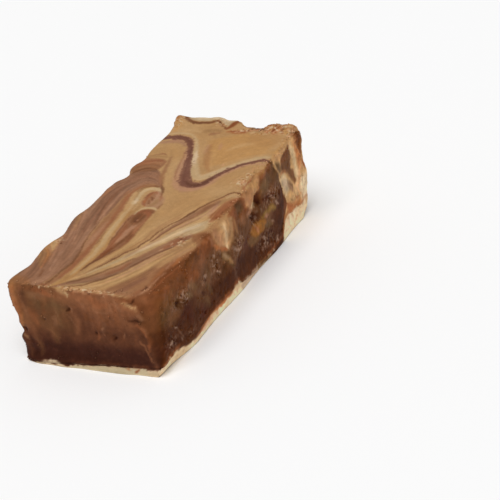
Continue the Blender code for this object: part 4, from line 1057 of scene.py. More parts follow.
BASE_STROKES = [  # over the cream at the right side's foot, in (X, Z)
    ("side dark", 0.9, 0.6, [
        (-44, 4.6, 0.7), (-40, 3.9, 1.4), (-34, 3.5, 1.5), (-26, 4.0, 1.2), (-18, 4.4, 1.2),
        (-10, 4.2, 1.2), (-6.4, 4.8, 0.6),
    ]),
    ("side rust", 0.75, 0.5, [
        (-33, 2.6, 0.3), (-28, 2.9, 0.6), (-22, 3.5, 0.7), (-17, 3.3, 0.9), (-12, 3.3, 0.9), (-8, 3.4, 0.5),
    ]),
    ("rust", 0.8, 0.4, [
        (-26, 2.6, 0.2), (-21, 3.0, 0.4), (-16, 2.6, 0.6), (-13, 2.8, 0.5), (-10, 2.8, 0.3),
    ]),
    ("pink tan", 0.7, 0.5, [(-30, 1.9, 0.2), (-26, 1.9, 0.4), (-22, 2.0, 0.3)]),
    ("side cream", 0.8, 0.7, [(-6.4, 3.2, 0.4), (-4.4, 3.0, 0.9), (-2, 2.0, 0.5)]),
    ("side dark", 0.8, 0.6, [(-1.6, 4, 0.4), (2, 3.2, 0.8), (8, 2.8, 0.7), (14, 2.4, 0.6)]),
    ("grey cream", 0.85, 0.6, [(-0.6, 1.4, 0.6), (4, 1.4, 0.9), (12, 1.2, 0.7)]),
    ("side olive", 0.85, 0.8, [(13, 0.8, 0.8), (19, 0.8, 0.9), (25, 0.8, 0.8)]),
    ("side dark", 0.95, 0.6, [(24.6, 0.6, 0.8), (29, 0.6, 1.4), (33, 0.6, 1.2)]),
]
# The blackish marks in the pits and cavities among these strokes are painted shade.
NEAR_STROKES = [
    ("side light", 0.4, 1.4, [(-2, 24.4, 0.8), (-6, 22.4, 1.8), (-10, 23, 1.0)]),
    ("side light", 0.4, 1.4, [(-5, 20.6, 0.6), (-6.6, 19, 1.2), (-8.4, 18, 0.6)]),
    ("side light", 0.65, 1.4, [(12, 25.4, 0.8), (8, 24.6, 1.4), (4.6, 24.6, 0.8)]),
    ("side rust", 0.65, 1.0, [(16.8, 26, 0.5), (14, 25.4, 1.2), (11.4, 24.4, 0.5)]),
    ("side olive", 0.4, 1.2, [
        (18.4, 23.4, 0.6), (16, 21.4, 1.6), (14, 20, 1.0), (10, 21, 1.2), (6.4, 20, 0.5),
    ]),
    ("side pink", 0.35, 1.2, [(18.4, 24.2, 0.6), (16.4, 23.4, 1.4), (14, 23.4, 0.8)]),
    ("side dark", 0.65, 1.1, [(21.8, 25.4, 0.5), (21.4, 23.4, 1.1), (20.4, 20.8, 0.5)]),
    ("side red", 0.6, 0.8, [(22.6, 26, 0.3), (19, 26, 0.6), (13, 25.6, 0.3)]),
    ("side rust", 0.5, 1.1, [(19.4, 19, 0.6), (18.8, 16, 1.2), (18, 13, 0.6)]),
    ("side olive", 0.35, 1.0, [(10.6, 23, 0.5), (9.6, 18, 1.0), (9, 13, 0.5)]),
    ("near red", 0.6, 1.2, [(4.4, 20, 0.6), (3, 16.6, 1.4), (4, 12.6, 0.6)]),
    ("side light", 0.3, 1.2, [(-10, 20, 0.8), (-14, 17.6, 1.6), (-16, 15, 0.8)]),
    ("near mid", 0.5, 1.2, [(8, 12, 0.8), (5, 10.6, 1.4), (0, 10.4, 0.8)]),
    ("near olive", 0.7, 1.1, [(14, 12.4, 0.8), (12, 10.2, 1.2), (11.6, 8, 0.5)]),
    ("near red", 0.5, 1.4, [(20, 13, 0.8), (19.6, 9.4, 1.4), (19, 6, 0.6)]),
    ("near olive", 0.5, 1.0, [(19, 8, 0.5), (18.6, 5, 0.9), (18.4, 2.6, 0.4)]),
    # The rounded left edge is painted lighter here, as lit more than the flat of the face.
    ("side light", 0.7, 1.2, [(22, 27, 0.4), (22.4, 22, 0.9), (21.4, 17, 0.9), (21.6, 13, 0.6)]),
    ("strip", 0.9, 1.0, [
        (22.8, 30), (23.4, 26), (23.6, 22), (22.6, 18), (23, 14.4), (23.4, 12), (28, 11.6), (29, 30),
    ]),
    ("side rust", 0.6, 0.8, [
        (24, 26.4, 0.3), (24.8, 23, 0.8), (24, 19, 0.9), (24.4, 15, 0.9), (24, 12.6, 0.4),
    ]),
    ("side red", 0.5, 0.7, [(23.2, 24, 0.3), (22.6, 20.6, 0.7), (23, 17.4, 0.7), (24.4, 14, 0.4)]),
    ("side light", 0.6, 0.6, [(25, 20, 0.4), (25.4, 16.6, 0.7), (24.4, 13.4, 0.4)]),
    ("rust", 0.5, 0.5, [(24.4, 16, 0.2), (23.4, 15.2, 0.5), (23, 14.4, 0.2)]),
    ("near mid", 0.7, 0.9, [(24, 8, 1.2), (22.8, 5, 1.0), (22.6, 2.4, 0.7)]),
    ("side tan", 0.6, 0.5, [(25.4, 9, 0.3), (23.8, 8.6, 0.6), (23, 7.8, 0.2)]),
    ("hollow shade", 0.8, 0.4, [(24.6, 11.4, 0.3), (23.2, 11, 0.5), (22.6, 10.6, 0.1)]),
    ("tan light", 0.6, 0.8, [(8.6, 27.6, 0.4), (6, 26.6, 1.0), (4.8, 25.6, 0.6)]),
    ("cream", 0.8, 0.3, [(5.8, 26.4, 0.15), (5, 25.6, 0.35), (4.6, 24.8, 0.1)]),
    ("peach", 0.6, 0.5, [(2, 27, 0.3), (-3, 27.4, 0.6), (-8, 27.8, 0.7), (-12, 28, 0.4)]),
    ("hollow shade", 0.6, 0.3, [(6.4, 19.9, 0.1), (5.6, 20.1, 0.4), (4.4, 20.3, 0.1)]),
    ("side pink", 0.6, 0.3, [(4.8, 21.2, 0.1), (4.2, 20.6, 0.4), (4, 19.8, 0.1)]),
    ("hollow shade", 0.8, 0.35, [(-8.2, 12.2, 0.2), (-8.9, 12.3, 0.5), (-9.6, 12.5, 0.2)]),
    ("hollow shade", 0.7, 0.3, [(-2.5, 12.6, 0.1), (-2.8, 12.9, 0.4), (-3.1, 13.3, 0.1)]),
    ("side rust", 0.6, 0.4, [(-3.4, 13.4, 0.1), (-3.4, 12, 0.4), (-2.8, 11, 0.2)]),
    ("hollow shade", 0.5, 0.3, [(15.9, 15.4, 0.1), (15.4, 15.3, 0.4), (14.8, 15.4, 0.1)]),
    ("side pink", 0.6, 0.3, [(-5.6, 15.5, 0.1), (-5.4, 14.9, 0.4), (-5, 13.9, 0.1)]),
    ("side pink", 0.6, 0.25, [(-13, 14.6, 0.1), (-12.8, 13.6, 0.3), (-12.6, 12.6, 0.1)]),
    ("side light", 0.4, 0.25, [(-10.4, 15.3, 0.1), (-11.4, 15.1, 0.25)]),
    ("near red", 0.5, 0.35, [(9.6, 16.6, 0.1), (9.9, 15.4, 0.3), (9.6, 14.6, 0.1)]),
    ("side rust", 0.45, 0.9, [(-2.6, 25, 0.5), (-5.4, 23.4, 1.2), (-8, 23.6, 0.6)]),
    ("side pink", 0.45, 0.5, [(-10.4, 26.4, 0.2), (-12, 24, 0.4), (-12.8, 21.6, 0.2)]),
    ("side pink", 0.4, 0.35, [(-3, 21.6, 0.1), (-6, 20.6, 0.25), (-9, 20.6, 0.1)]),
    ("side pink", 0.4, 0.3, [(6.4, 18.8, 0.1), (5, 16.4, 0.2), (4.2, 14, 0.1)]),
    ("side pink", 0.35, 0.3, [(11, 19.4, 0.1), (10, 17.8, 0.2), (9, 16, 0.1)]),
    ("side light", 0.4, 0.3, [(15, 12.2, 0.1), (13, 10.8, 0.25), (10.6, 9.4, 0.1)]),
    ("side red", 0.5, 0.8, [(0.4, 19, 0.4), (-1.6, 17.4, 0.8), (-3.4, 16.8, 0.4)]),
    # the torn corner: lit ridges and what lies beyond them
    ("side red", 0.75, 1.2, [
        (-11, 28), (-14, 24), (-18.4, 20.6), (-18.6, 17), (-20.6, 14.5), (-28, 14.5), (-28, 30),
    ]),
    ("side light", 0.6, 1.0, [(-13, 27.6, 0.5), (-16, 26.2, 1.0), (-20, 24.6, 1.0)]),
    ("side light", 0.8, 0.5, [
        (-11, 26.6, 0.2), (-13, 25, 0.5), (-15, 23.2, 0.9), (-17, 22, 0.8), (-18.6, 21, 0.4),
    ]),
    ("side tan", 0.8, 0.4, [
        (-13.6, 24.2, 0.15), (-15, 23.4, 0.4), (-16.6, 22.6, 0.4), (-17.6, 21.8, 0.15),
    ]),
    ("tan light", 0.6, 0.25, [(-15, 23.3, 0.1), (-15.9, 22.9, 0.25), (-16.8, 22.4, 0.1)]),
    ("side pink", 0.8, 0.4, [(-17.6, 20.8, 0.3), (-19, 20.3, 0.6), (-19.6, 19.2, 0.3)]),
    ("hollow shade", 0.6, 0.5, [(-15, 18.8, 0.2), (-16.4, 18.2, 0.5), (-17.8, 18.4, 0.6), (-18.8, 18.8, 0.2)]),
    ("side rust", 0.8, 0.4, [
        (-17.6, 17, 0.2), (-19.2, 16.2, 0.5), (-20.4, 14.6, 0.4), (-20.9, 12, 0.3), (-20.6, 9, 0.2),
    ]),
    ("side pink", 0.6, 0.3, [(-18.6, 16.8, 0.1), (-20, 15.6, 0.3), (-20.6, 14.2, 0.1)]),
    ("side light", 0.8, 0.3, [
        (-17.8, 12.2, 0.1), (-19, 10.4, 0.3), (-19.9, 8.4, 0.3), (-20.4, 7, 0.25), (-21, 5, 0.15),
    ]),
    ("side light", 0.4, 1.2, [(-21.6, 9, 0.4), (-21.6, 5, 0.8), (-21.8, 3, 0.4)]),
    ("hollow shade", 0.7, 0.3, [(-17, 25, 0.1), (-16.3, 24.2, 0.28), (-15.7, 23.6, 0.1)]),
]
CRUMBLY = [  # grey crumbly patches of the right side: (X, Z, half length, half height)
    (-14.6, 17, 3.2, 4), (0.4, 15.6, 4.6, 3.4), (21, 7.6, 6, 3.2), (29, 20, 7, 3), (-37, 18, 4, 3),
    (-23.4, 16.4, 1.8, 2), (-38, 4.6, 5, 1.6), (28, 3.6, 3, 1.6), (-48, 8, 3, 2.4), (15, 18, 3, 3),
]
# The pale specks of these crumbs are painted highlights.
CRUMBLED_NEAR_EDGE = [  # crumbs along the near face's upper edge: (Y, half width)
    (-5, 5.5), (14, 2.5), (-17, 2.0),
]
PITS = [  # on the near face: (Y, Z, radius, depth)
    (5.5, 20.1, 0.8, 0.8), (-8.9, 12.3, 0.8, 0.9), (-2.8, 12.9, 0.5, 0.5), (15.4, 15.4, 0.6, 0.4),
    (23.4, 11.0, 1.2, 0.9), (-17.2, 18.4, 1.4, 0.9), (7.4, 20.0, 0.5, 0.3), (-14.0, 10.2, 0.5, 0.3),
    (18.4, 21.4, 0.5, 0.3), (1.4, 22.4, 0.5, 0.3),
]
DARK_TOP_NEAR = 8.6  # height of the dark chocolate on the near face
DARK_TOP_HIDDEN = 12.0  # and on the faces out of sight
DARK_BLEND = 2.6  # how far above and below that height it fades
UPPER_BLEND = (24.5, 18)  # the heights between which the upper tone gives way to the middle one
SMEARED_OVER = 0.7  # how far the knife drew chocolate over the cream on the near face
NEAR_FOOT_STROKES = [  # over the cream of the near face, in (Y, Z)
    ("near cream", 0.8, 0.4, [(8, 0.1, 0.9), (0, 0.2, 1.0), (-8, 0.4, 1.4), (-17, 0.8, 1.6)]),
    ("near dark", 0.9, 0.4, [(24, 1.8, 0.8), (20, 1.9, 0.6), (17, 2.6, 0.5), (11, 2.2, 0.5), (7, 1.9, 0.5)]),
    ("vanilla", 0.85, 0.35, [
        (19, 0.4, 0.3), (16.8, 0.8, 0.6), (14.6, 1.3, 0.5), (12.4, 0.9, 0.6), (10, 0.3, 0.3),
    ]),
    ("vanilla", 0.7, 0.25, [(16.4, 1.2, 0.1), (14, 1.3, 0.35), (11.8, 1.0, 0.15)]),
    ("rust deep", 0.8, 0.3, [(-14, 0.4, 0.15), (-14.4, 1.0, 0.4), (-15.4, 2, 0.3)]),
    ("rust", 0.6, 0.3, [(-11, 1.8, 0.15), (-12.2, 1.4, 0.35), (-12, 2.2, 0.2)]),
    ("side rust", 0.5, 0.4, [(-12, 2.2, 0.2), (-15, 2.5, 0.3), (-19, 2.8, 0.2)]),
]


def crags(x, y, z):
    """Crumb-sized bumps, from about -1 to 1."""
    return octaves(x, y, z, (0.5, 1.5, 31), (0.4, 0.85, 32), (0.25, 0.5, 33))


def mottled(colour, a, b, seed, strength, drag):
    """Blotches and specks of cut fudge. drag is the share of the upright marks that the knife drew."""
    lean = a + 1.2 * noise(a, b, seed, 7.0, 34)
    blotch = octaves(a, b, seed, (0.6, 3.2, 35), (0.4, 1.3, 36), (0.2, 0.6, 37))
    drawn = 0.7 * noise(lean, b * 0.13, seed, 1.3, 38) + 0.25 * noise(lean, b * 0.1, seed, 0.5, 56)
    shade = (1 - drag) * blotch + drag * drawn
    colour *= 1 + strength * shade[:, None] * [1.0, 1.05, 1.1]
    light = (1 - drag) * smooth(-0.1, 0.5, noise(a, b, seed, 6.0, 39))
    specks(colour, a, b, seed + 1, light, 0.7, 40, "side light", 0.3)
    # Dark specks of painted shade, as in tiny pits.
    specks(colour, a, b, seed + 2, light, 0.8, 41, "hollow shade", 0.16)


def layered(b, dark_top, upper, middle, foot):
    """Dark chocolate up to dark_top, then a middle tone, then the upper one."""
    colour = plain(upper, len(b))
    mix(colour, middle, smooth(*UPPER_BLEND, b))
    mix(colour, foot, smooth(dark_top + DARK_BLEND, dark_top - DARK_BLEND, b))
    return colour


def wandering(a, b, seed):
    """Face coordinates bent by uneven dragging, so that no painted edge is clean."""
    bent_a = a + octaves(a, b, seed, (0.5, 2.8, 42), (0.3, 1.1, 43), (0.16, 0.5, 44))
    bent_b = b + octaves(a, b, seed + 5, (0.5, 2.8, 45), (0.3, 1.1, 46), (0.16, 0.5, 47))
    return bent_a, bent_b


def paint_right(x, z):
    bent_x, bent_z = wandering(x, z, 0)
    level = bent_z + 1.5 * noise(x, 0, z, 5.0, 48)
    colour = layered(level, curve(DARK_TOP, x), "side red", "side brown", "side dark")
    paint(colour, bent_x, bent_z, SIDE_STROKES)
    mottled(colour, x, z, 0, 0.11, 0.1)
    # In the crumbly patches, pale specks are painted glints on crumbs and dark specks painted shade between
    # them.
    for place in CRUMBLY:
        inside = spot(x, z, *place)
        specks(colour, x, 6, z, inside, 0.75, 49, "glint", 0.75)
        specks(colour, x, 7, z, inside, 0.8, 50, "hollow shade", 0.6)
        specks(colour, x, 8, z, inside, 0.45, 74, "glint", 0.6)
    return colour


def paint_near(y, z):
    bent_y, bent_z = wandering(y, z, 20)
    level = bent_z + 0.9 * noise(3, y, z * 0.4, 3.0, 51)
    colour = layered(level, DARK_TOP_NEAR, "near red", "near mid", "near dark")
    mix(colour, "near olive", 0.75 * smooth(1, 9, bent_y) * smooth(10, 14, level))
    mix(colour, "near red", 0.5 * smooth(4, -2, bent_y) * smooth(13, 19, level))
    paint(colour, bent_y, bent_z, NEAR_STROKES)
    above = smooth(9, 14, level)
    specks(colour, bent_y, bent_z * 0.6, 20, above, 1.9, 77, "side pink", 0.26)
    specks(colour, bent_y, bent_z * 0.6, 23, above, 1.5, 78, "side red", 0.34)
    mottled(colour, y, z, 20, 0.14, 0.65)
    # Along the upper edge: pale specks of painted highlight on the crumbs.
    for at_y, half_width in CRUMBLED_NEAR_EDGE:
        rim = bell(y - at_y, half_width) * smooth(25.6, 27.0, z)
        specks(colour, y, 5, z, rim, 0.9, 79, "vanilla", 0.8)
        specks(colour, y, 8, z, rim, 0.6, 80, "near dark", 0.5)
    return colour


def paint_plain_side(a, z, height, seed):
    """A face out of sight, marbled like the ones in view."""
    bent_a, bent_z = wandering(a, z, seed)
    level = bent_z + 1.6 * noise(a, seed, z, 5.0, 52)
    colour = layered(level, DARK_TOP_HIDDEN, "side red", "side brown", "side dark")
    high = smooth(0.3, 0.62, bent_z / height)
    drag = noise(bent_a, bent_z * 0.7, seed, 6.5, 53) + 0.4 * noise(bent_a, bent_z * 0.5, seed, 2.0, 54)
    mix(colour, "side tan", 0.8 * high * smooth(0.15, 0.5, drag))
    mix(colour, "side rust", 0.6 * high * bell(drag - 0.12, 0.08))
    mix(colour, "olive dark", 0.6 * smooth(0.2, 0.6, noise(bent_a, bent_z * 0.5, seed, 6.0, 55)))
    mix(colour, "side cream", 0.45 * high * smooth(0.45, 0.8, drag))
    mottled(colour, a, z, seed, 0.13, 0.2)
    return colour


def cream_amount(x, y, z, right, near):
    """1 in the cream and 0 in the fudge, with the ragged edge between them; and the edge itself."""
    floor = cream_top(x, y) - SMEARED_OVER * near
    ragged = octaves(x, y, z, (0.55, 1.8, 60), (0.45, 0.8, 61), (0.2, 0.45, 75))
    under = smooth(0.25, -0.25, z - floor + ragged)
    beyond = x - (far_end(y, z) - wall(y, z)) + ragged
    # On the right side the marbling runs over the wall's edge, so the wall shows only at the far face.
    wall_mask = smooth(-0.3, 0.3, beyond) * (1 - right)
    return np.maximum(under, wall_mask), bell(z - floor - 0.35 + ragged, 0.8)


def paint_cream(x, y, z):
    colour = plain("vanilla", len(x))
    mix(colour, "vanilla dull", 0.8 * smooth(-0.3, 0.5, noise(x, y, z, 4.0, 62)))
    mix(colour, "peach", 0.5 * smooth(0.25, 0.75, noise(x, y * 0.6, z * 1.5, 4.0, 63)) * smooth(0.0, 2.5, z))
    smear = smooth(0.45, 0.85, noise(x, y, z * 0.7, 2.2, 64) + 0.4 * noise(x, y, z, 0.7, 65))
    mix(colour, "side tan", 0.55 * smear * smooth(0.3, 2.0, z))
    specks(colour, x, y, z, smooth(0.2, 1.5, z), 0.8, 66, "brown red", 0.3)
    colour *= (1 + octaves(x, y, z, (0.05, 0.6, 67), (0.05, 1.6, 68)))[:, None]
    return colour


# How squarely a surface faces a side, an end or up where it starts to take that face's paint, and where it
# takes all of it.
SIDE_TURN = (0.35, 0.75)
END_TURN = (0.35, 0.8)
TOP_TURN = (0.40, 0.62)

# The top's paint reaches over its edges. It ends between these heights below the top. A place below the top
# takes the strokes' paint this much further out for each millimetre, along X and Y, as the strokes are laid
# out on the top's plane seen at a slant.
TOP_PAINT_DEPTH = (-4.5, -2.0)
SLANT_X = 1.73
SLANT_Y = 0.94


def paint_all(points, normals):
    """The colour of every point, from the face it lies on, as linear light; how crumbly it is; and how far
    it belongs to the top."""
    x, y, z = points.T
    nx, ny, nz = normals.T
    flat = np.hypot(nx, ny) + 1e-6
    right = smooth(*SIDE_TURN, -ny / flat)
    left = smooth(*SIDE_TURN, ny / flat)
    near = smooth(*END_TURN, -nx / flat)
    far = smooth(*END_TURN, nx / flat)
    total = right + left + near + far + 1e-6
    height = top(x, y)
    colour = np.zeros((len(x), 3))
    amount, halo = cream_amount(x, y, z, right, near)
    amount = amount * (z < height - 2)
    halo = 0.6 * halo * (1 - 0.5 * near) * (nz < 0.6)
    rough = crags(x, y, z)
    light = studio_light(normals, z, near)[:, None]
    gloss = (GLOSS + (GLOSS_ON_SIDES - GLOSS) * smooth(0.4, 0.9, np.abs(ny)))[:, None]
    for weight, painted, crag_shading in (
        (right, lambda at: paint_right(x[at], z[at]), 0.14),
        (left, lambda at: paint_plain_side(x[at], z[at], height[at], 9), 0.16),
        (near, lambda at: paint_near(y[at], z[at]), 0.10),
        (far, lambda at: paint_plain_side(y[at], z[at], height[at], 13), 0.16),
    ):
        at = np.flatnonzero(weight > 0)
        face = painted(at)
        # Painted shade and highlight of the crags: the colour darkens in their dips and lightens on their
        # crests, the same crags that fine_relief raises.
        face *= (1 + crag_shading * np.clip(rough[at], -1, 1))[:, None]
        # The cream under and beyond the fudge, with a rusty line where they meet.
        mix(face, "side rust", halo[at])
        face += (paint_cream(x[at], y[at], z[at]) - face) * amount[at][:, None]
        if weight is right:
            paint(face, *wandering(x[at], z[at], 3), BASE_STROKES)
        if weight is near:
            paint(face, *wandering(y[at], z[at], 4), NEAR_FOOT_STROKES)
        colour[at] += pigment(face, light[at], gloss[at]) * (weight / total)[at][:, None]
    bare = np.flatnonzero(total < 0.01)
    colour[bare] = pigment(tone("tan"), light[bare], GLOSS)
    over = smooth(*TOP_TURN, nz + octaves(x, y, z, (0.14, 2.0, 69), (0.1, 0.7, 70)))
    over = over * smooth(*TOP_PAINT_DEPTH, z - height)
    at = np.flatnonzero(over > 0)
    drop = np.clip(height[at] - z[at], 0, 3)
    painted = paint_top(x[at] - SLANT_X * drop, y[at] - SLANT_Y * drop)
    colour[at] += (pigment(painted, light[at], GLOSS) - colour[at]) * over[at][:, None]
    return colour, crumbliness(points, nz, right, near, over, height), over


def crumbliness(points, nz, right, near, over, height):
    """How crumbly each place is: 0 on the smooth top, and most in the patches."""
    x, y, z = points.T
    crumbly = (1 - over) * (0.2 + 0.5 * smooth(-0.2, 0.5, noise(x, y, z, 5.0, 71))) * (1 - 0.3 * near)
    far_corner = smooth(49, 52, x) * smooth(-4, -12, y) * smooth(-4, -1, z - height)
    crumbly = np.maximum(crumbly, far_corner * 1.4)
    for place in CRUMBLY:
        crumbly = np.maximum(crumbly, spot(x, z, *place) * right * 1.6)
    for place in CRUMBLED_TOP:
        crumbly = np.maximum(crumbly, spot(x, y, *place) * smooth(0.2, 0.5, nz) * 1.1)
    return crumbly


# ---------------------------------------------------------------------------------------------------------
# Fine relief, along the surface's own normals.

RELIEF_INWARD = 0.14  # the relief starts this far inside the smooth form, so that its peaks stay in the box
MOST_CRUMBLY = 1.5


def fine_relief(points, normals, crumbly, over):
    """Height of drag marks, crumbs, pits and the top's gentle ripples above the smooth form."""
    x, y, z = points.T
    nx, ny, nz = normals.T
    along = np.where(np.abs(ny) > np.abs(nx), x, y)
    upright = (1 - over) * smooth(0.8, 0.4, np.abs(nz))
    lean = along + 1.4 * noise(along, z, 3, 7.0, 80)
    height = upright * (0.015 * noise(lean, z * 0.14, 3, 0.9, 81) + 0.07 * noise(lean, z * 0.3, 3, 3.0, 82))
    crumbs = np.minimum(crumbly, MOST_CRUMBLY) * (0.4 + 0.6 * upright)
    height += crumbs * 0.24 * crags(x, y, z)
    height -= crumbs * 0.4 * smooth(0.45, 0.8, noise(x, y, z, 1.2, 83))
    torn = smooth(44, 52, x) * (0.4 + 0.6 * upright) * (1 + 0.8 * smooth(-4, -12, y) * smooth(24, 30, z))
    height += torn * octaves(x, y, z, (0.3, 2.4, 84), (0.15, 1.1, 85))
    height += over * (0.05 * noise(x, y * 1.6, z, 2.4, 86) + 0.025 * noise(x, y * 2.0, z, 1.0, 87))
    near = smooth(0.5, 0.8, -nx)
    for at_y, at_z, radius, depth in PITS:
        height -= near * depth * spot(y, z, at_y, at_z, radius, radius)
    return height - RELIEF_INWARD


def normals_of(points, quads):
    """Smooth normals of a mesh of quads."""
    a, b, c, d = (points[quads[:, i]] for i in range(4))
    faces = np.cross(c - a, d - b)
    total = np.zeros_like(points)
    for i in range(4):
        np.add.at(total, quads[:, i], faces)
    return total / np.maximum(np.linalg.norm(total, axis=1), 1e-12)[:, None]


def finish_mesh(name, points, quads, extra, colour, crumbly, surface, node):
    """A mesh object in the frame, with its paint. It stands for a node, where one is named."""
    mesh = bpy.data.meshes.new(name)
    low, high = np.array([list(corner) for corner in CAD_BOX])
    places = np.clip((points - [*MIDDLE, 0]) * MM, low, high)
    mesh.from_pydata(places.tolist(), [], [*quads.tolist(), *extra])
    mesh.validate()
    opaque = np.column_stack([colour, np.ones(len(colour))])
    paint_layer = mesh.attributes.new("paint", "FLOAT_COLOR", "POINT")
    paint_layer.data.foreach_set("color", opaque.astype(np.float32).ravel())
    grain_layer = mesh.attributes.new("crumble", "FLOAT", "POINT")
    grain_layer.data.foreach_set("value", np.clip(crumbly, 0, MOST_CRUMBLY).astype(np.float32))
    mesh.shade_smooth()
    mesh.materials.append(surface)
    piece = bpy.data.objects.new(name, mesh)
    bpy.context.scene.collection.objects.link(piece)
    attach(piece, "root")
    if node:
        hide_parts(node)


def loop_of_floor(number):
    """The lattice numbers round the open floor of a shell, in order."""
    i, j = number.shape[0] - 1, number.shape[1] - 1
    ring = [(a, 0) for a in range(i)] + [(i, b) for b in range(j)]
    ring += [(a, j) for a in range(i, 0, -1)] + [(0, b) for b in range(j, 0, -1)]
    return [number[a, b, 0] for a, b in ring]


def fill_floor(points, ring, step, height):
    """Coarse triangles that close an open floor. height(x, y) places the new points inside it."""
    edge = points[ring]
    low, high = edge[:, :2].min(0) + FLOOR_MARGIN, edge[:, :2].max(0) - FLOOR_MARGIN
    grid_x, grid_y = np.meshgrid(np.arange(low[0], high[0], step), np.arange(low[1], high[1], step))
    inner = np.column_stack([grid_x.ravel(), grid_y.ravel()])
    inside = region_mask(inner[:, 0], inner[:, 1], edge[:, :2], 0.01) > 0.5
    gap = np.min(np.hypot(*(inner[:, None, :] - edge[None, ::4, :2]).transpose(2, 0, 1)), axis=1)
    inner = inner[inside & (gap > FLOOR_CLEAR)]
    flat = [Vector(place) for place in np.vstack([edge[:, :2], inner])]
    count = len(edge)
    rim = [(k, (k + 1) % count) for k in range(count)]
    _, _, triangles, origin, _, _ = geometry.delaunay_2d_cdt(flat, rim, [], 1, 1e-6)
    numbers = [*ring, *range(len(points), len(points) + len(inner))]
    new = np.column_stack([inner, height(inner[:, 0], inner[:, 1])])
    faces = [[int(numbers[origin[k][0]]) for k in face][::-1] for face in triangles]
    return np.vstack([points, new]), faces


FUDGE_STEPS = (0.37, 0.40, 0.42)  # the grid's spacing along, across and up
CREAM_STEP = 0.6
CREAM_LAYERS = 16  # the cream's grid from its outside to the fudge
CREAM_TORN = 0.35  # how much of the torn corner the cream's near face follows
FLOOR_STEP = 5.0  # the coarse triangles of the fudge's hidden floor
FLOOR_MARGIN = 2.0  # they start this far inside the floor's box
FLOOR_CLEAR = 1.2  # and keep this far from its edge
HIDDEN = 0.05  # their paint
FOOT_ROUND = 0.3
TUCK = 0.35  # how far the fudge reaches into the cream, so that no gap shows
CRUMBS = 1500
CRUMB_LEAST = 0.14  # radius
CRUMB_MOST = 0.45
CRUMB_SUNK = 0.3  # how much flatter a crumb is along the surface's normal
CRUMB_PROUD = 0.2  # how far its middle stands out, in its own radii
CRUMB_UNEVEN = (0.7, 1.2)  # its corners' distances from its middle, in its own radii
CRUMB_SHADES = (0.8, 1.2)  # its paint, as a share of the paint that it sits on
CRUMB_PALEST = 0.8
CRUMB_GRAIN = 0.7


def build_fudge(surface):
    step_along, step_across, step_up = FUDGE_STEPS
    along = lines(LENGTH, step_along, True, False)
    across = lines(WIDTH, step_across, True, True)
    up = lines(NEAR_HEIGHT, step_up, False, True)
    lattice, quads, number = shell((len(along) - 1, len(across) - 1, len(up) - 1), left_open=[(2, 0)])
    i, j, k = lattice.T
    u, v, w = rounded(along[i], across[j], up[k])
    points = block_point(u, v, w, inner=True)
    normals = normals_of(points, quads)
    colour, crumbly, over = paint_all(points, normals)
    at_seam = smooth(0, 4, len(along) - 1 - i) * smooth(0, 2, k)  # relief fades where the layers meet
    points = points + normals * (at_seam * fine_relief(points, normals, crumbly, over))[:, None]
    points[i == len(along) - 1, 0] += TUCK
    points[k == 0, 2] -= TUCK
    points, floor = fill_floor(points, loop_of_floor(number), FLOOR_STEP, cream_top)
    added = len(points) - len(colour)
    colour = np.vstack([colour, np.full((added, 3), HIDDEN)])
    crumbly = np.concatenate([crumbly, np.zeros(added)])
    print("fudge triangles", 2 * len(quads) + len(floor))
    finish_mesh("fudge", points, quads, floor, colour, crumbly, surface, "marbled_fudge")
    count = len(normals)
    build_crumbs(surface, points[:count], normals, colour[:count], crumbly[:count])


def build_crumbs(surface, points, normals, colour, crumbly):
    """Crumbs that cling to the cut sides and the worn edges: uneven lumps sunk half into the fudge."""
    draw = np.random.default_rng(90)
    x, y, z = points.T
    edge = bell(z - top(x, y) + 0.9, 1.4) * smooth(0.95, 0.75, normals[:, 2])
    chance = (crumbly**2 + 0.8 * edge * smooth(23, 20, y)) * (z > cream_top(x, y) + 0.8)
    chosen = draw.choice(len(points), CRUMBS, replace=False, p=chance / chance.sum())
    ball = bmesh.new()
    bmesh.ops.create_icosphere(ball, subdivisions=1, radius=1.0)
    ball.verts.index_update()
    corners = np.array([vertex.co for vertex in ball.verts])
    faces = np.array([[vertex.index for vertex in face.verts] for face in ball.faces])
    ball.free()
    radius = CRUMB_LEAST + (CRUMB_MOST - CRUMB_LEAST) * draw.random(CRUMBS) ** 3
    shape = corners[None] * draw.uniform(*CRUMB_UNEVEN, (CRUMBS, len(corners), 1))
    up = normals[chosen][:, None]
    shape = (shape - CRUMB_SUNK * (shape * up).sum(-1, keepdims=True) * up) * radius[:, None, None]
    places = points[chosen][:, None] + CRUMB_PROUD * up * radius[:, None, None] + shape
    tint = colour[chosen] * draw.uniform(*CRUMB_SHADES, (CRUMBS, 1))
    pale = CRUMB_PALEST * draw.random((CRUMBS, 1)) ** 2 * np.clip(edge[chosen], 0.15, 1)[:, None]
    tint += (pigment(tone("peach"), 1.0, GLOSS) - tint) * pale
    numbers = (faces[None] + len(corners) * np.arange(CRUMBS)[:, None, None]).reshape(-1, 3)
    each = np.repeat(tint, len(corners), 0)
    rough = np.full(len(each), CRUMB_GRAIN)
    finish_mesh("crumbs", places.reshape(-1, 3), numbers, [], each, rough, surface, None)


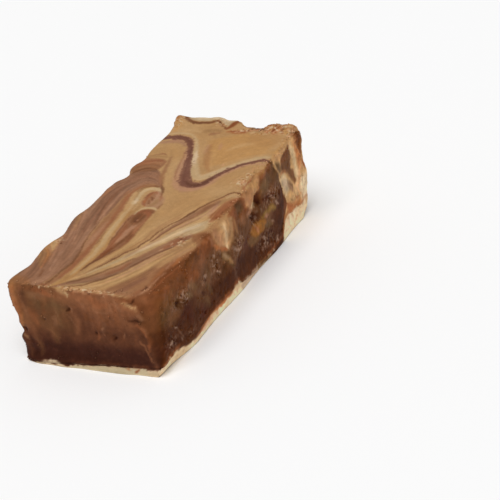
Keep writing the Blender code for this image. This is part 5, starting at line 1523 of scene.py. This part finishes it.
def build_cream(surface):
    """The cream's layer and the wall at its far end: a sheet of CREAM_LAYERS layers between the bar's outside
    and the fudge, bent up at the far end."""
    along = lines(LENGTH, CREAM_STEP, True, False)
    across = lines(WIDTH, CREAM_STEP, True, True)
    up = lines(NEAR_HEIGHT, CREAM_STEP, False, True)
    floor_cells, wall_cells = len(along) - 1, len(up) - 1
    lattice, quads, _ = shell((floor_cells + wall_cells, len(across) - 1, CREAM_LAYERS))
    i, j, k = lattice.T
    u = along[np.minimum(i, floor_cells)]
    w = up[np.maximum(i - floor_cells, 0)]
    v = across[j]
    inner_u, inner_v, inner_w = rounded(u, v, w)
    on_floor = i <= floor_cells
    torn = np.where(i == 0, CREAM_TORN, 1.0)
    inside = block_point(np.where(on_floor, u, inner_u), inner_v, inner_w, inner=True, torn=torn)
    outside = block_point(np.where(on_floor, u, 1.0), inner_v, inner_w, inner=False, torn=CREAM_TORN)
    at_bottom = k == 0
    inset_y = np.where(j == 0, 1, 0) - np.where(j == len(across) - 1, 1, 0)
    outside[:, 1] += FOOT_ROUND * inset_y * at_bottom
    outside[:, 0] += FOOT_ROUND * ((i == 0) & at_bottom)
    rim = (i == floor_cells + wall_cells) & at_bottom
    outside[:, 2] -= FOOT_ROUND * rim
    share = (k / CREAM_LAYERS)[:, None]
    points = outside + (inside - outside) * share
    points[:, 0] = np.where(on_floor & (k > 0), inside[:, 0], points[:, 0])
    normals = normals_of(points, quads)
    colour, crumbly, over = paint_all(points, normals)
    seen = (k < CREAM_LAYERS) & ~(on_floor & at_bottom)
    relief = fine_relief(points, normals, crumbly * 0.7, over) * seen
    points = points + normals * relief[:, None]
    points[:, 2] = np.where(on_floor, np.maximum(points[:, 2], 0), points[:, 2])
    print("cream triangles", 2 * len(quads))
    finish_mesh("cream_layer", points, quads, [], colour, crumbly, surface, "cream_base")


# ---------------------------------------------------------------------------------------------------------
# Materials.


def add(tree, kind, values=None, **settings):
    """A new node, with its settings and the values of its inputs."""
    made = tree.nodes.new(kind)
    for name, value in settings.items():
        setattr(made, name, value)
    for name, value in (values or {}).items():
        made.inputs[name].default_value = value
    return made


def math_node(tree, operation, *values):
    """The output of a Math node. Each value is a number or another node's output."""
    made = add(tree, "ShaderNodeMath", operation=operation)
    for socket, value in zip(made.inputs, values):
        if isinstance(value, float):
            socket.default_value = value
        else:
            tree.links.new(value, socket)
    return made.outputs[0]


LEAST_ROUGHNESS = 0.42
MOST_ROUGHNESS = 0.62
SPECULAR = 0.05
COARSE_CELLS = 900.0  # of the shader's noise in a metre
FINE_CELLS = 3200.0
FUDGE_GRAIN = 0.16  # the share of light and dark that the coarse noise adds
CREAM_GRAIN = 0.10
CRUMBLY_GRAIN = 0.22  # more of it where the fudge is crumbly
BUMP = 0.12
CRUMBLY_BUMP = 0.45
BUMP_DEPTH = 0.00022  # metres


def fudge_material(name, grain):
    """Painted fudge: the paint carries the marbling, and noise adds grain, specks, gloss and fine bump."""
    surface = bpy.data.materials.new(name)
    surface.use_nodes = True
    tree = surface.node_tree
    link = tree.links.new
    shader = tree.nodes["Principled BSDF"]
    place = add(tree, "ShaderNodeTexCoord").outputs["Object"]
    painted = add(tree, "ShaderNodeAttribute", attribute_name="paint").outputs["Color"]
    crumble = add(tree, "ShaderNodeAttribute", attribute_name="crumble").outputs["Fac"]
    coarse = add(tree, "ShaderNodeTexNoise", {"Scale": COARSE_CELLS, "Detail": 3.0, "Roughness": 0.6})
    fine = add(tree, "ShaderNodeTexNoise", {"Scale": FINE_CELLS, "Detail": 2.0, "Roughness": 0.6})
    for texture in (coarse, fine):
        link(place, texture.inputs["Vector"])
    depth = math_node(tree, "MULTIPLY_ADD", crumble, CRUMBLY_GRAIN, grain)
    centred = math_node(tree, "SUBTRACT", coarse.outputs["Fac"], 0.5)
    swing = math_node(tree, "MULTIPLY_ADD", centred, depth, 1.0)
    shaded = add(tree, "ShaderNodeVectorMath", operation="SCALE")
    link(painted, shaded.inputs[0])
    link(swing, shaded.inputs["Scale"])
    link(shaded.outputs[0], shader.inputs["Base Color"])
    limits = {"From Min": 0.3, "From Max": 0.7, "To Min": LEAST_ROUGHNESS, "To Max": MOST_ROUGHNESS}
    gloss = add(tree, "ShaderNodeMapRange", limits)
    link(fine.outputs["Fac"], gloss.inputs["Value"])
    link(gloss.outputs[0], shader.inputs["Roughness"])
    both = math_node(tree, "ADD", coarse.outputs["Fac"], fine.outputs["Fac"])
    strength = math_node(tree, "MULTIPLY_ADD", crumble, CRUMBLY_BUMP, BUMP)
    bump = add(tree, "ShaderNodeBump", {"Distance": BUMP_DEPTH})
    link(strength, bump.inputs["Strength"])
    link(both, bump.inputs["Height"])
    link(bump.outputs[0], shader.inputs["Normal"])
    shader.inputs["Specular IOR Level"].default_value = SPECULAR
    return surface


# ---------------------------------------------------------------------------------------------------------
# Stage, light and camera.

AIM = (-0.34, -28.68, 15.0)  # the point that the camera looks at
DISTANCE = 443.76
AZIMUTH = -61.47
ELEVATION = 26.92
ROLL = -8.34
LENS = 100.0
CLIP = (0.01, 20.0)  # metres
FLOOR_HALF = 4.0  # metres
FLOOR_DROP = 0.00005  # metres, so that the base and the floor don't share a plane
KEY_SIZE = 50  # degrees that the key light spans


def make_camera():
    data = bpy.data.cameras.new("camera")
    data.lens = LENS
    data.clip_start, data.clip_end = CLIP
    camera = bpy.data.objects.new("camera", data)
    bpy.context.scene.collection.objects.link(camera)
    a, e = math.radians(AZIMUTH), math.radians(ELEVATION)
    back = Vector((math.sin(a) * math.cos(e), -math.cos(a) * math.cos(e), math.sin(e)))
    aim = Vector([(value - middle) * MM for value, middle in zip(AIM, (*MIDDLE, 0))])
    camera.location = aim + back * DISTANCE * MM
    camera.rotation_mode = "QUATERNION"
    turn = Quaternion((0, 0, 1), math.radians(ROLL))
    camera.rotation_quaternion = (-back).to_track_quat("-Z", "Y") @ turn
    bpy.context.scene.camera = camera


def plain_material(name, shade):
    surface = bpy.data.materials.new(name)
    surface.use_nodes = True
    shader = surface.node_tree.nodes["Principled BSDF"]
    shader.inputs["Base Color"].default_value = (shade, shade, shade, 1)
    shader.inputs["Roughness"].default_value = 0.8
    shader.inputs["Specular IOR Level"].default_value = 0.1
    return surface


def make_floor():
    mesh = bpy.data.meshes.new("floor")
    corners = [(x * FLOOR_HALF, y * FLOOR_HALF, 0) for x, y in ((-1, -1), (1, -1), (1, 1), (-1, 1))]
    mesh.from_pydata(corners, [], [(0, 1, 2, 3)])
    mesh.materials.append(plain_material("floor", FLOOR_SHADE))
    floor = bpy.data.objects.new("floor", mesh)
    floor.location.z = -FLOOR_DROP
    bpy.context.scene.collection.objects.link(floor)


def sun(name, direction, angle, strength):
    """A light from far away. direction points towards it."""
    data = bpy.data.lights.new(name, "SUN")
    data.angle = math.radians(angle)
    data.energy = strength
    light = bpy.data.objects.new(name, data)
    bpy.context.scene.collection.objects.link(light)
    light.rotation_mode = "QUATERNION"
    light.rotation_quaternion = (-Vector(direction)).to_track_quat("-Z", "Y")


def make_light():
    world = bpy.data.worlds.new("studio")
    world.use_nodes = True
    background = world.node_tree.nodes["Background"]
    background.inputs["Color"].default_value = (1, 1, 1, 1)
    seen = add(world.node_tree, "ShaderNodeLightPath").outputs["Is Camera Ray"]
    strength = add(world.node_tree, "ShaderNodeMapRange", {"To Min": SKY_STRENGTH, "To Max": BACKDROP})
    world.node_tree.links.new(seen, strength.inputs["Value"])
    world.node_tree.links.new(strength.outputs[0], background.inputs["Strength"])
    bpy.context.scene.world = world
    sun("key", KEY_DIRECTION, KEY_SIZE, KEY_STRENGTH)
    bpy.context.scene.view_settings.view_transform = "Standard"


def main():
    build_fudge(fudge_material("fudge", FUDGE_GRAIN))
    build_cream(fudge_material("cream", CREAM_GRAIN))
    make_floor()
    make_light()
    make_camera()


main()
